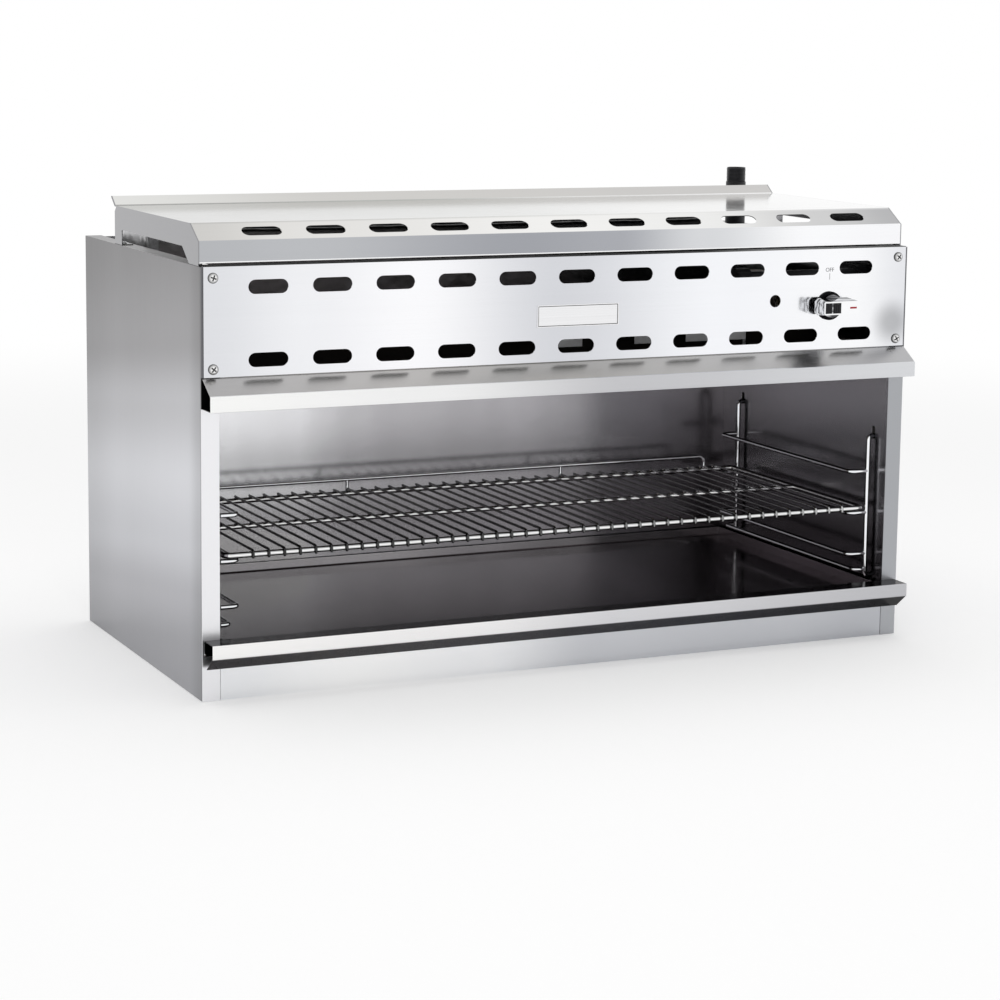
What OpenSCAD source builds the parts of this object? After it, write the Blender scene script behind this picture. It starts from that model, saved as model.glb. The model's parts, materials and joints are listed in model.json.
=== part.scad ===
// Counter-top gas cheese melter: an open-fronted cabinet with an infrared burner in its ceiling,
// a wire rack on wire guides, a pull-out spillage pan, and the gas controls behind a slotted panel.
// Millimetres. +Z is up, the open front faces -Y, and the origin is under the middle of the whole thing.

/* [Body] */
// Width over the side panels
body_w = 914.4; // [760:0.1:1200]
// Depth from the front posts to the back of the side panels
body_d = 445.5; // [400:0.1:560]
// Height of the side panels
body_h = 488; // [470:0.1:600]
// Thickness of the outer sheet steel
sheet = 1.2; // [0.8:0.1:1.6]
// Thickness of the inner sheet steel
liner = 0.8; // [0.6:0.1:1.2]
// Width of the front post folded on each side panel
post_w = 20.8; // [18:0.1:26]
// Width of the flange folded along the top of each side panel
top_return_w = 20; // [18:0.5:24]
// Width of the flange folded along the back of each side panel
rear_return_w = 16; // [12:0.5:22]
// Width of the flange folded along the foot of each side panel
base_return_w = 16; // [12:0.5:22]

/* [Cavity] */
// Space between the back liner and the back of the body
rear_space = 37.5; // [30:0.5:60]
// Distance from the top of the body down to the cavity ceiling
ceiling_down = 136; // [130:0.5:142]
// Depth of the flue slot behind the ceiling
flue_slot_d = 24; // [14:0.5:30]

/* [Front panel] */
// Height of the front panel
panel_h = 123.2; // [120:0.1:128]
// Distance from the side of the body to the edge of the front panel
panel_inset = 2.7; // [2:0.1:5]
// Pitch of the vent slots
slot_pitch = 76.2; // [60:0.1:100]
// Length of a vent slot
slot_l = 47; // [30:0.5:56]
// Height of a vent slot
slot_h = 16; // [10:0.5:18]
// How far the rows of slots in the panel sit right of the middle
panel_slot_shift = 2; // [-6:0.5:6]
// Distance from the top of the panel down to the upper row of slots
upper_row_down = 24.2; // [20:0.1:28]
// Distance from the bottom of the panel up to the lower row of slots
lower_row_up = 17.7; // [15:0.1:20]
// Diameter of the hole in front of the pilot valve
pilot_hole_d = 15; // [10:0.5:18]
// Width of the blank nameplate
nameplate_w = 106; // [60:1:140]
// Height of the blank nameplate
nameplate_h = 26; // [16:0.5:32]

/* [Hood trim] */
// How far the heat deflector over the opening stands out
trim_reach = 28; // [18:0.5:40]
// How far its sloping face drops
trim_drop = 17.5; // [12:0.5:24]
// Height of its upright lip
trim_lip = 17.5; // [10:0.5:22]

/* [Top cover] */
// Height of the cover above the side panels
cover_h = 45.5; // [40:0.5:60]
// Distance from the front posts back to the front of the cover
cover_front = 12.5; // [10:0.5:18]
// Depth of the sloping front edge of the cover
cover_bevel_d = 29.5; // [24:0.5:36]
// Height of the sloping front edge of the cover
cover_bevel_h = 18.5; // [14:0.5:24]
// How far the row of slots in the cover sits right of the middle
cover_slot_shift = 4.5; // [-6:0.5:6]
// Distance from the back of the cover to the back of the body
cover_rear_space = 120.5; // [90:0.5:150]
// Length of the flue deflector measured along the depth
deflector_d = 14; // [8:0.5:24]
// Rise of the flue deflector
deflector_h = 10.5; // [6:0.5:20]

/* [Spillage pan] */
// Height of the rails that carry the pan
pan_seat_z = 54.5; // [50:0.5:56]
// Depth of the pan below its side rims
pan_depth = 11; // [8:0.5:12]
// Space between the pan and each side of the cavity
pan_side_gap = 6; // [4.5:0.5:8]
// How far the pan handle stands out in front of the posts
handle_reach = 29; // [20:0.5:40]
// Rise of the top of the handle above the pan floor
handle_rise = 14; // [13:0.5:20]
// Height of the upright lip of the handle
handle_lip = 15.5; // [10:0.5:20]
// Drop of the sloping underside of the handle
handle_drop = 16.5; // [10:0.5:20]

/* [Rack and guides] */
// Diameter of the upright wires of a guide
upright_d = 6.35; // [5.6:0.05:6.8]
// Diameter of the runners of a guide
runner_d = 5.6; // [4.8:0.1:6]
// Height of the lowest rack level
level_z = 99.5; // [96:0.5:106]
// Spacing of the rack levels
level_pitch = 52.7; // [46:0.1:56]
// How far a runner stands in from the cavity wall
runner_in = 32.4; // [28:0.1:40]
// Distance from the front posts back to the front upright
guide_front = 30; // [26:0.5:40]
// Distance from the back liner to the rear upright
guide_rear_gap = 52; // [40:0.5:60]
// Diameter of the rack's rails
rail_d = 7; // [6:0.1:8]
// Diameter of the rack's cross wires
wire_d = 3.2; // [2.4:0.1:4]
// Pitch of the rack's cross wires
wire_pitch = 18.97; // [16:0.01:28]
// Diameter of the rack's rear guard wire
guard_d = 5; // [4:0.1:5.5]
// Height of the rear guard above the rack's rails
guard_h = 17; // [12:0.5:20]

/* [Burner] */
// Distance from the front posts back to the burner housing
burner_front = 92.2; // [86:0.1:100]
// Space between the burner housing and the flue
burner_back_gap = 44.2; // [38:0.1:60]
// Space between the burner housing and each side of the cavity
burner_end_gap = 48.4; // [44:0.1:60]
// Number of ceramic tiles along the burner
tiles_long = 6; // [4:1:8]
// Thickness of one ceramic tile
tile_t = 13; // [11.5:0.5:14]
// Height of the burner housing
plenum_h = 42.8; // [36:0.1:44]
// Pitch of the rods of the radiant screen
screen_pitch = 19; // [14:0.5:30]

/* [Gas train] */
// Outside diameter of the inlet pipe
inlet_d = 26.7; // [21.3:0.1:26.7]
// Wall of the gas pipes
pipe_wall = 2.8; // [2:0.1:3.2]
// Outside diameter of the manifold pipe
manifold_d = 21.3; // [17.1:0.1:21.3]
// Distance from the side of the body to the inlet pipe
inlet_inset = 24.2; // [23:0.1:30]
// Distance from the back of the body to the inlet pipe
inlet_rear = 60.5; // [54:0.5:66]
// How far the inlet pipe stands above the body
inlet_rise = 77; // [50:0.5:130]
// Distance from the top of the body down to the gas line
gas_down = 39; // [36:0.5:42]
// Distance from the front posts back to the manifold pipe
manifold_y = 40; // [38:0.5:44]
// Distance from the inlet pipe forwards to the pressure regulator
regulator_gap = 102; // [95:1:130]

/* [Knob and valves] */
// Distance from the side of the body to the knob
knob_inset_x = 111.2; // [104:0.1:118]
// Distance from the top of the body down to the knob's axis
knob_down = 69; // [67:0.5:71]
// Diameter of the valve stem
stem_d = 8; // [6:0.5:9]
// Diameter of the black bezel behind the knob
bezel_d = 35; // [24:0.5:40]
// Length of the knob's bar
knob_l = 49; // [40:0.5:60]
// How far the knob stands out in front of the posts
knob_reach = 31; // [28:0.5:40]
// Distance from the knob to the pilot valve
pilot_dx = 76; // [70:0.5:80]
// Distance from the top of the body down to the pilot valve
pilot_down = 61; // [60:0.5:63]

/* [Base] */
// Diameter of the tapped holes for legs
leg_hole_d = 9.6; // [8:0.1:12]
// Distance from the side of the body to the leg holes
leg_inset = 52; // [46:1:70]
// Distance from the front posts to the front leg holes
leg_front = 60; // [40:1:90]
// Distance from the back of the body to the rear leg holes
leg_rear = 60; // [50:1:90]

/* [Hidden] */
$fn = 48;

// Clearances
eps = 0.01;           // overshoot of a cut past a face
fit_gap = 0.05;       // radial clearance of a shaft or screw in its hole
lay_gap = 0.3;        // clearance under a thing that slides or is laid in
side_gap = 0.4;       // clearance beside a fitted sheet
weld_gap = 0.1;       // seat of one round wire on another

// Body planes, with Y counted from the front of the posts
half_w = body_w / 2;
cav_half = half_w - post_w;
cav_back = body_d - rear_space;
inner_half = half_w - sheet - side_gap;
base_top = 2 * sheet;
ceiling_z = body_h - ceiling_down;
ceiling_top = ceiling_z + sheet;
panel_half = half_w - panel_inset;
panel_top = body_h + sheet;
panel_z = panel_top - panel_h;
cover_half = half_w - sheet - lay_gap;
cover_top = body_h + cover_h;
cover_back = body_d - cover_rear_space;
screw_head_h = 2;
front_reach = max(handle_reach, trim_reach, knob_reach);
front_y = (front_reach - body_d - screw_head_h) / 2;
back_plate_y = body_d - 2 * sheet;

// Screws
panel_screw_d = 4.8;
panel_screw_head_d = 12;
panel_screw_head_h = 3;
panel_screw_l = 10;
panel_screw_x = half_w - 13.7;
panel_screw_top = panel_top - 13.2;
panel_screw_low = panel_z + 9;
small_screw_d = 4;
small_screw_head_d = 8;
small_screw_l = 8;
back_screw_x = half_w - rear_return_w / 2;
back_screw_zs = [60, body_h / 2, body_h - 60];

// Top cover
cover_tab_w = 14;
cover_tab_front = [cover_front + 6, cover_front + 32];
cover_tab_rear = [cover_back - 28, cover_back];
cover_tab_x = cover_half - cover_tab_w / 2;
cover_lip_gap = 3;
cover_window_top = 18;
cover_window_slope = 24.5;
cover_corner_cut = 7;

// Spillage pan
pan_half = cav_half - pan_side_gap;
pan_z = pan_seat_z + lay_gap;
pan_floor_top = pan_z + sheet;
pan_rim_z = pan_floor_top + pan_depth;
pan_front = -0.4;
pan_back = cav_back - 4;
handle_top = pan_floor_top + handle_rise;
handle_half = half_w - 2.4;
handle_leg = 18;
handle_tail = 8;
kick_top = pan_seat_z - 1.7;
kick_return = 14;
rail_w = 16;
rail_h = 14.5;
rail_front = kick_return + 2;

// Rack and guides
guide_x = cav_half - 6.9;
guide_rear = cav_back - guide_rear_gap;
runner_x = cav_half - runner_in;
pan_runner_x = runner_x + 10;
pan_runner_z = 79;
hook_z = 249;
foot_z = 71;
hook_r = 6;
foot_r = 5;
runner_r = 8;
hook_out = 3.6;
guide_hole_d = upright_d + 0.9;
keyhole_h = 9;
rack_level = 1;
rack_x = guide_x - upright_d / 2 - 2.8 - rail_d / 2;
rack_front = guide_front - 3;
rack_rear = guide_rear - 4;
rack_mid = (rack_front + rack_rear) / 2;
rack_corner = 7;
rack_z = level_z + rack_level * level_pitch + runner_d / 2 + lay_gap + rail_d / 2;
wire_z = rack_z + rail_d / 2 + wire_d / 2 + weld_gap;
wire_turn = wire_z - rack_z;
wire_tail = 3.3;
wire_wrap = 130;
wire_pairs = floor((rack_x - 21) / wire_pitch);
wire_xs = [for (i = [0.5 - wire_pairs:wire_pairs]) i * wire_pitch];
guard_y = rack_rear + rail_d / 2 + guard_d / 2 + weld_gap;
guard_half = rack_x - 42;
guard_post_xs = [-7.5 * wire_pitch, 8.5 * wire_pitch];
guard_r = 9;

// Flue
blanket_t = 12.7;
flue_d = 108;
flue_back_gap = 5.5;
flue_left_gap = 30;
flue_right_gap = 68.4;
flue_rise = 17;
flue_left = flue_left_gap - cav_half;
flue_right = cav_half - flue_right_gap;
flue_back = body_d - flue_back_gap;
flue_front = flue_back - flue_d;
flue_top = body_h + flue_rise;

// Burner, from the housing inwards
plenum_half = cav_half - burner_end_gap;
burner_back = flue_front - burner_back_gap;
burner_y = (burner_front + burner_back) / 2;
plenum_sheet = 1.5;
frame_clear = 1.3;
gasket = 1.5;
tile_gap = 0.6;
tiles_deep = 2;
tile_margin = plenum_sheet + frame_clear + sheet + gasket;
tile_half = [plenum_half - tile_margin, burner_back - burner_y - tile_margin];
tile_l = (2 * tile_half.x - (tiles_long - 1) * tile_gap) / tiles_long;
tile_w = (2 * tile_half.y - (tiles_deep - 1) * tile_gap) / tiles_deep;
pocket_half = tile_half + [gasket, gasket];
frame_half = pocket_half + [sheet, sheet];
opening_gap = 1.1;
opening_half = frame_half + [opening_gap, opening_gap];
plenum_in = frame_half + [frame_clear, frame_clear];
plenum_out = plenum_in + [plenum_sheet, plenum_sheet];
plenum_flange = 10;
frame_flange = 13;
tile_drop = 11;
tile_z = ceiling_z - tile_drop;
frame_lip = 8;
lip_z = tile_z - sheet;
screen_h = 6;
screen_bar = 5;
screen_rod_d = 2;
screen_rod_drop = 3.8;
screen_rod_z = lip_z - screen_rod_drop;
screen_tie_z = screen_rod_z + screen_rod_d + weld_gap;
plenum_top = ceiling_top + plenum_h;
burner_screw_d = 5;
burner_screw_y = plenum_out.y + plenum_flange / 2;
burner_screw_xs = [for (i = [-1.5:1:1.5]) i * plenum_half / 2];
baffle_y = 38;
baffle_drop = 20;
baffle_back = 24;
baffle_spans = [[-30, 30], [100, 150], [170, 253]];

// Insulation in the walls
pin_space = 4;
wool_edge = 8;
wool_front = 20;
wool_back_gap = 5;

// Valves
knob_x = half_w - knob_inset_x;
knob_z = body_h - knob_down;
gas_z = body_h - gas_down;
pilot_x = knob_x - pilot_dx;
pilot_z = body_h - pilot_down;
valve_half = 15;
valve_front = 24;
valve_back = 58;
bonnet_af = 22;
bonnet_front = 10;
nipple_d = 13;
nipple_top = gas_z - manifold_d / 2 + 4;
outlet_d = 16;
outlet_back = 66;
orifice_af = 14;
orifice_hex_back = 77.5;
orifice_neck_d = 12;
orifice_tip_y = 86;
shutter_y = 78;
shutter_t = 1.5;
mixer_y = 80;
mixer_r = 29;
mixer_web = 3;
mixer_wall = 3;
throat_r = 17;
throat_y = mixer_y + 18;
mixer_end_r = 21;
box_half = 30;
box_wall = 4;
box_y = burner_y - box_half;
box_top = knob_z + mixer_end_r + 3;
port_d = 12;
port_ring_r = 18;
shutter_tab = 7;

// Knob
bezel_t = 3;
bezel_neck_d = 13.6;
panel_hole_d = 14;
knob_gap = 0.8;
knob_back = -(sheet + bezel_t + knob_gap);
knob_front = -knob_reach;
knob_back_h = 10.5;
knob_front_h = 8;
knob_skirt_r = 14;
knob_skirt_t = 3;
knob_bore_end = knob_front + 10;
knob_corner = 4;
stem_end = 46;
set_screw_d = 4;
set_screw_y = knob_back - knob_skirt_t - 4;
inset_depth = 1;
inset_half_h = 6.4;
inset_left = -knob_l / 2 + 1.5;
inset_right = -1;
index_l = 9.5;
index_h = 2.2;
index_right = knob_l / 2 - 3.5;

// Pipes and fittings
inlet_x = half_w - inlet_inset;
inlet_y = body_d - inlet_rear;
inlet_top_z = body_h + inlet_rise;
regulator_y = inlet_y - regulator_gap;
elbow_wall = 4;
elbow_reach = 28;
socket = 13;
manifold_left = pilot_x - 30;
cap_l = 18;
regulator_port_r = 16;
regulator_half = 33;
regulator_disc_r = 30;
regulator_disc_t = 8;
regulator_disc_x = inlet_x - 24;
regulator_dome_r = 17;
regulator_dome_l = 16;
regulator_cap_r = 9;
regulator_cap_l = 9;
regulator_body_r = 19;

// Pilot
pilot_half = 7;
pilot_front = 30;
pilot_back = 50;
pilot_nipple_d = 8;
pilot_boss_d = 10;
pilot_boss_front = 20;
pilot_screw_shank_d = 5;
pilot_screw_head_d = 8;
pilot_screw_head_h = 3;
pilot_screw_slot = 1.2;
pilot_screw_end = 38;
pilot_outlet_back = 56;
tube_d = 4.8;
tube_bend = 10;
tube_y = 72;
pilot_burner_d = 10;
pilot_flange_d = 18;
pilot_flange_t = 2;
pilot_burner_h = 14;

// ---------- helpers ----------

// Every piece is drawn with Y counted from the front of the posts, then moved to the common origin.
module from_front() {
    translate([0, front_y, 0]) children();
}

module block(low, high) {
    translate(low) cube(high - low);
}

// A bar or tube of diameter d from point a to point b
module rod(a, b, d) {
    v = b - a;
    length = norm(v);
    translate(a) rotate([0, acos(v.z / length), atan2(v.y, v.x)]) cylinder(d = d, h = length);
}

// A quarter turn of wire: centre c, lying in the plane of unit vectors u and v, from c + r*u to c + r*v
module bend(c, u, v, r, d) {
    w = cross(u, v);
    multmatrix([[u.x, v.x, w.x, c.x], [u.y, v.y, w.y, c.y], [u.z, v.z, w.z, c.z], [0, 0, 0, 1]])
        rotate_extrude(angle = 90) translate([r, 0]) circle(d = d);
}

// Repeats its children on the other side of the body
module both_sides() {
    children();
    mirror([1, 0, 0]) children();
}

function unit(v) = v / norm(v);
function left_of(v) = [-v.y, v.x];
// Corner i of the line pts, moved sideways by t with a mitred corner
function mitre(pts, i, t) =
    let (last = len(pts) - 1,
         before = i == 0 ? unit(pts[1] - pts[0]) : unit(pts[i] - pts[i - 1]),
         after = i == last ? before : unit(pts[i + 1] - pts[i]),
         m = unit(left_of(before) + left_of(after)))
    pts[i] + m * t / (m * left_of(after));
// The outline of a folded sheet of thickness t whose face runs along pts
function folded(pts, t) = concat(pts, [for (i = [len(pts) - 1:-1:0]) mitre(pts, i, t)]);

// A profile in depth and height, run across the body between two values of X
module across(x0, x1, outline) {
    translate([x0, 0, 0]) rotate([90, 0, 90]) linear_extrude(x1 - x0) polygon(outline);
}

// Outline of a slot with round ends
function slot_outline(l, h, steps = 12) =
    [for (side = [0, 1], i = [0:steps])
        let (a = -90 + 180 * side + 180 * i / steps)
        [(1 - 2 * side) * (l - h) / 2 + h / 2 * cos(a), h / 2 * sin(a)]];

slots_each_side = floor((panel_half - slot_l / 2 - 40) / slot_pitch);
slot_xs = [for (i = [-slots_each_side:slots_each_side]) i * slot_pitch];

// A hollow pipe from a to b
module pipe(a, b, d) {
    over = unit(b - a) * eps;
    difference() {
        rod(a, b, d);
        rod(a - over, b + over, d - 2 * pipe_wall);
    }
}

// A malleable pipe elbow at c with its sockets along unit vectors u and v, for pipes of diameter du and dv
module elbow(c, u, v, du, dv) {
    d = max(du, dv) + 2 * elbow_wall;
    bore = min(du, dv) - 2 * pipe_wall;
    difference() {
        union() {
            rod(c, c + u * elbow_reach, d);
            rod(c, c + v * elbow_reach, d);
            translate(c) sphere(d = d + 1);
        }
        rod(c + u * (elbow_reach - socket), c + u * (elbow_reach + eps), du + 2 * fit_gap);
        rod(c + v * (elbow_reach - socket), c + v * (elbow_reach + eps), dv + 2 * fit_gap);
        rod(c - u * bore / 4, c + u * elbow_reach, bore);
        rod(c - v * bore / 4, c + v * elbow_reach, bore);
    }
}
pipe_end = elbow_reach - socket;

// ---------- casing ----------

module side_panel() {
    difference() {
        union() {
            block([half_w - sheet, 0, 0], [half_w, body_d, body_h]);
            block([half_w - post_w, 0, 0], [half_w, sheet, body_h]);
            block([half_w - top_return_w, 0, body_h - sheet], [half_w, body_d, body_h]);
            block([half_w - rear_return_w, body_d - sheet, 0], [half_w, body_d, body_h]);
            block([half_w - base_return_w, 0, 0], [half_w, body_d, sheet]);
        }
        panel_screw_holes(0);
        cover_screw_holes(body_h);
        back_screw_holes(body_d);
    }
}

module side_panel_left() {
    color("silver") from_front() mirror([1, 0, 0]) side_panel();
}

module side_panel_right() {
    pipe_notch_d = inlet_d + 4;
    color("silver") from_front() difference() {
        side_panel();
        translate([inlet_x, inlet_y, body_h - 2 * sheet]) cylinder(d = pipe_notch_d, h = 3 * sheet);
    }
}

module panel_screw_holes(y) {
    for (side = [-1, 1], z = [panel_screw_low, panel_screw_top])
        translate([side * panel_screw_x, y + 2 * sheet, z]) rotate([90, 0, 0])
            cylinder(d = panel_screw_d + 2 * fit_gap, h = 4 * sheet);
}

module cover_screw_holes(z) {
    for (side = [-1, 1], span = [cover_tab_front, cover_tab_rear])
        translate([side * cover_tab_x, (span[0] + span[1]) / 2, z - 2 * sheet])
            cylinder(d = small_screw_d + 2 * fit_gap, h = 4 * sheet);
}

module back_screw_holes(y) {
    for (side = [-1, 1], z = back_screw_zs)
        translate([side * back_screw_x, y + sheet, z]) rotate([90, 0, 0])
            cylinder(d = small_screw_d + 2 * fit_gap, h = 4 * sheet);
}

module back_panel() {
    hem = 12;
    color("lightgray") from_front() difference() {
        union() {
            block([-inner_half, back_plate_y, base_top], [inner_half, back_plate_y + sheet, body_h - sheet]);
            block([-inner_half, back_plate_y - sheet, body_h - sheet - hem],
                  [inner_half, back_plate_y + sheet, body_h - sheet]);
        }
        back_screw_holes(body_d);
    }
}

leg_xs = [-half_w + leg_inset, half_w - leg_inset];
leg_ys = [leg_front, body_d - leg_rear];

module leg_holes(z0, z1) {
    for (x = leg_xs, y = leg_ys)
        translate([x, y, z0]) cylinder(d = leg_hole_d, h = z1 - z0);
}

module bottom_panel() {
    flange = 18;
    color("lightgray") from_front() difference() {
        union() {
            block([-inner_half, sheet, sheet], [inner_half, back_plate_y, base_top]);
            block([-cav_half + side_gap, sheet, sheet], [cav_half - side_gap, 2 * sheet, sheet + flange]);
        }
        leg_holes(0, 2 * base_top);
    }
}

module kick_panel() {
    half = cav_half - side_gap;
    color("gainsboro") from_front() {
        block([-half, 0, 0], [half, sheet, kick_top]);
        block([-half, 0, 0], [half, kick_return, sheet]);
        block([-half, 0, kick_top - sheet], [half, kick_return, kick_top]);
    }
}

module leg_nuts() {
    nut_h = 8;
    nut_d = leg_hole_d * 1.7;
    color("slategray") from_front() difference() {
        for (x = leg_xs, y = leg_ys)
            translate([x, y, base_top]) cylinder(d = nut_d, h = nut_h, $fn = 6);
        leg_holes(base_top - eps, base_top + nut_h + eps);
    }
}

module front_panel() {
    top_flange = 16;
    color("whitesmoke") from_front() difference() {
        union() {
            block([-panel_half, -sheet, panel_z], [panel_half, 0, panel_top]);
            block([-panel_half + sheet, -sheet, body_h], [panel_half - sheet, top_flange, panel_top]);
        }
        for (x = slot_xs, z = [panel_z + lower_row_up, panel_top - upper_row_down])
            translate([x + panel_slot_shift, sheet, z]) rotate([90, 0, 0])
                linear_extrude(3 * sheet) polygon(slot_outline(slot_l, slot_h));
        translate([pilot_x, sheet, pilot_z]) rotate([90, 0, 0]) cylinder(d = pilot_hole_d, h = 3 * sheet);
        translate([knob_x, sheet, knob_z]) rotate([90, 0, 0]) cylinder(d = panel_hole_d, h = 3 * sheet);
        panel_screw_holes(-sheet);
    }
}

module nameplate() {
    plate_t = 0.8;
    rim_t = 0.5;
    rim = 1.2;
    plate_x = 4;
    plate_z = panel_z + 53.5;
    front = -sheet - plate_t;
    w = nameplate_w / 2;
    h = nameplate_h / 2;
    color("gainsboro") from_front() translate([plate_x, 0, plate_z]) difference() {
        block([-w, front - rim_t, -h], [w, -sheet, h]);
        block([-w + rim, front - rim_t - eps, -h + rim], [w - rim, front, h - rim]);
    }
}

module hood_trim() {
    tuck = 8;
    half = half_w - 1.2;
    lip_top = panel_z - trim_drop - 0.5;
    line = [[0, panel_z + tuck], [0, panel_z - 0.5], [-trim_reach, lip_top],
            [-trim_reach, lip_top - trim_lip], [0, lip_top - trim_lip]];
    color("silver") from_front() difference() {
        across(-half, half, folded(line, sheet));
        both_sides() block([cav_half - 1, 0, lip_top], [half + 1, tuck, panel_z + 2 * tuck]);
    }
}

module top_cover() {
    bevel_low = cover_top - cover_bevel_h;
    bevel_back = cover_front + cover_bevel_d;
    tilt = atan2(cover_bevel_h, cover_bevel_d);
    window_z = body_h + cover_window_top;
    window_front = cover_tab_front[1];
    window_rear = cover_tab_rear[0];
    skin = [[cover_front, body_h + cover_lip_gap], [cover_front, bevel_low], [bevel_back, cover_top],
            [cover_back, cover_top], [cover_back + deflector_d, cover_top + deflector_h]];
    end_plate = [[cover_front, body_h], [cover_front, bevel_low], [bevel_back, cover_top],
                 [cover_back - cover_corner_cut, cover_top], [cover_back, cover_top - cover_corner_cut],
                 [cover_back, body_h], [window_rear, body_h], [window_rear, window_z],
                 [window_front + cover_window_slope, window_z], [window_front, body_h]];
    color("gainsboro") from_front() difference() {
        union() {
            across(-cover_half, cover_half, folded(skin, -sheet));
            both_sides() {
                across(cover_half - sheet, cover_half, end_plate);
                for (span = [cover_tab_front, cover_tab_rear])
                    block([cover_half - cover_tab_w, span[0], body_h], [cover_half, span[1], body_h + sheet]);
            }
        }
        for (x = slot_xs)
            translate([x + cover_slot_shift, (cover_front + bevel_back) / 2, (bevel_low + cover_top) / 2])
                rotate([tilt, 0, 0]) linear_extrude(8 * sheet, center = true)
                    polygon(slot_outline(slot_l, slot_h));
        cover_screw_holes(body_h + sheet);
    }
}

module panel_screws() {
    color("lightgray") from_front()
        for (side = [-1, 1], z = [panel_screw_low, panel_screw_top])
            translate([side * panel_screw_x, -sheet, z]) {
                rotate([90, 0, 0]) cylinder(d = panel_screw_head_d, h = panel_screw_head_h);
                rotate([-90, 0, 0]) cylinder(d = panel_screw_d, h = panel_screw_l);
            }
}

module cover_screws() {
    color("lightgray") from_front()
        for (side = [-1, 1], span = [cover_tab_front, cover_tab_rear])
            translate([side * cover_tab_x, (span[0] + span[1]) / 2, body_h + sheet]) {
                cylinder(d = small_screw_head_d, h = screw_head_h);
                translate([0, 0, -small_screw_l]) cylinder(d = small_screw_d, h = small_screw_l + eps);
            }
}

module back_screws() {
    color("lightgray") from_front()
        for (side = [-1, 1], z = back_screw_zs)
            translate([side * back_screw_x, body_d, z]) {
                rotate([-90, 0, 0]) cylinder(d = small_screw_head_d, h = screw_head_h);
                rotate([90, 0, 0]) cylinder(d = small_screw_d, h = small_screw_l);
            }
}

// ---------- cavity ----------

module side_liner() {
    front_flange = 12;
    top_flange = 14;
    difference() {
        union() {
            block([cav_half, sheet, base_top], [cav_half + liner, cav_back, ceiling_z]);
            block([cav_half, sheet, base_top], [cav_half + front_flange, sheet + liner, ceiling_z]);
            block([cav_half, sheet, ceiling_z - liner], [cav_half + top_flange, cav_back, ceiling_z]);
        }
        for (y = [guide_front, guide_rear]) {
            translate([cav_half - 1, y, hook_z + keyhole_h / 2 - lay_gap]) rotate([90, 0, 90])
                linear_extrude(liner + 2) rotate(90)
                    polygon(slot_outline(guide_hole_d + keyhole_h, guide_hole_d));
            translate([cav_half - 1, y, foot_z]) rotate([0, 90, 0]) cylinder(d = guide_hole_d, h = liner + 2);
        }
    }
}

module liner_left() {
    color("darkgray") from_front() mirror([1, 0, 0]) side_liner();
}

module liner_right() {
    color("darkgray") from_front() side_liner();
}

module liner_back() {
    half = cav_half + liner;
    color("darkgray") from_front() {
        block([-half, cav_back, base_top], [half, cav_back + liner, ceiling_top]);
        block([-half, cav_back, ceiling_top - liner], [half, flue_back, ceiling_top]);
    }
}

module ceiling_panel() {
    half = cav_half + 12;
    flange_half = cav_half - 1;
    pilot_tube_hole_d = tube_d + 2.2;
    color("gray") from_front() difference() {
        union() {
            block([-half, sheet, ceiling_z], [half, cav_back, ceiling_top]);
            block([-flange_half, sheet, ceiling_z], [flange_half, 2 * sheet, panel_z + 8]);
        }
        block([-opening_half.x, burner_y - opening_half.y, ceiling_z - 1],
              [opening_half.x, burner_y + opening_half.y, ceiling_top + 1]);
        block([flue_left + liner, cav_back - flue_slot_d, ceiling_z - 1],
              [flue_right - liner, cav_back + 1, ceiling_top + 1]);
        translate([pilot_x, tube_y, ceiling_z - 1]) cylinder(d = pilot_tube_hole_d, h = sheet + 2);
        burner_screw_holes(ceiling_z - 1);
    }
}

module pan_rails() {
    color("darkgray") from_front() both_sides() {
        block([cav_half - sheet, rail_front, pan_seat_z - rail_h], [cav_half, pan_back, pan_seat_z]);
        block([cav_half - rail_w, rail_front, pan_seat_z - sheet], [cav_half, pan_back, pan_seat_z]);
    }
}

module cavity_insulation() {
    low = base_top + wool_edge;
    high = ceiling_z - wool_edge;
    side_x = cav_half + pin_space;
    back_x = cav_half - pin_space;
    color("khaki") from_front() {
        both_sides() block([side_x, wool_front, low], [inner_half, cav_back - wool_edge, high]);
        block([-back_x, cav_back + liner + lay_gap, low], [back_x, back_plate_y - wool_back_gap, high]);
    }
}

module ceiling_insulation() {
    low = ceiling_top + lay_gap;
    high = ceiling_top + blanket_t;
    reach = plenum_out + [plenum_flange + 1, plenum_flange + 1];
    half = cav_half - wool_edge;
    color("khaki") from_front() difference() {
        block([-half, burner_y - reach.y, low], [half, flue_front - blanket_t - 1, high]);
        block([-reach.x, burner_y - reach.y - 1, low - 1], [reach.x, burner_y + reach.y, high + 1]);
    }
}

module flue_duct() {
    color("silver") from_front() difference() {
        block([flue_left, flue_front, ceiling_top], [flue_right, flue_back, flue_top]);
        block([flue_left + liner, flue_front + liner, ceiling_top - 1],
              [flue_right - liner, flue_back - liner, flue_top + 1]);
    }
}

module flue_insulation() {
    low = ceiling_top + lay_gap;
    high = flue_top - 2;
    left = flue_left - lay_gap;
    front = flue_front - lay_gap;
    color("lightgray") from_front() {
        block([left - blanket_t, front - blanket_t, low], [flue_right, front, high]);
        block([left - blanket_t, front - eps, low], [left, flue_back, high]);
    }
}

// ---------- burner ----------

// A rectangular ring round the middle of the burner
module burner_ring(outer, inner, z0, z1) {
    difference() {
        block([-outer.x, burner_y - outer.y, z0], [outer.x, burner_y + outer.y, z1]);
        block([-inner.x, burner_y - inner.y, z0 - 1], [inner.x, burner_y + inner.y, z1 + 1]);
    }
}

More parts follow.
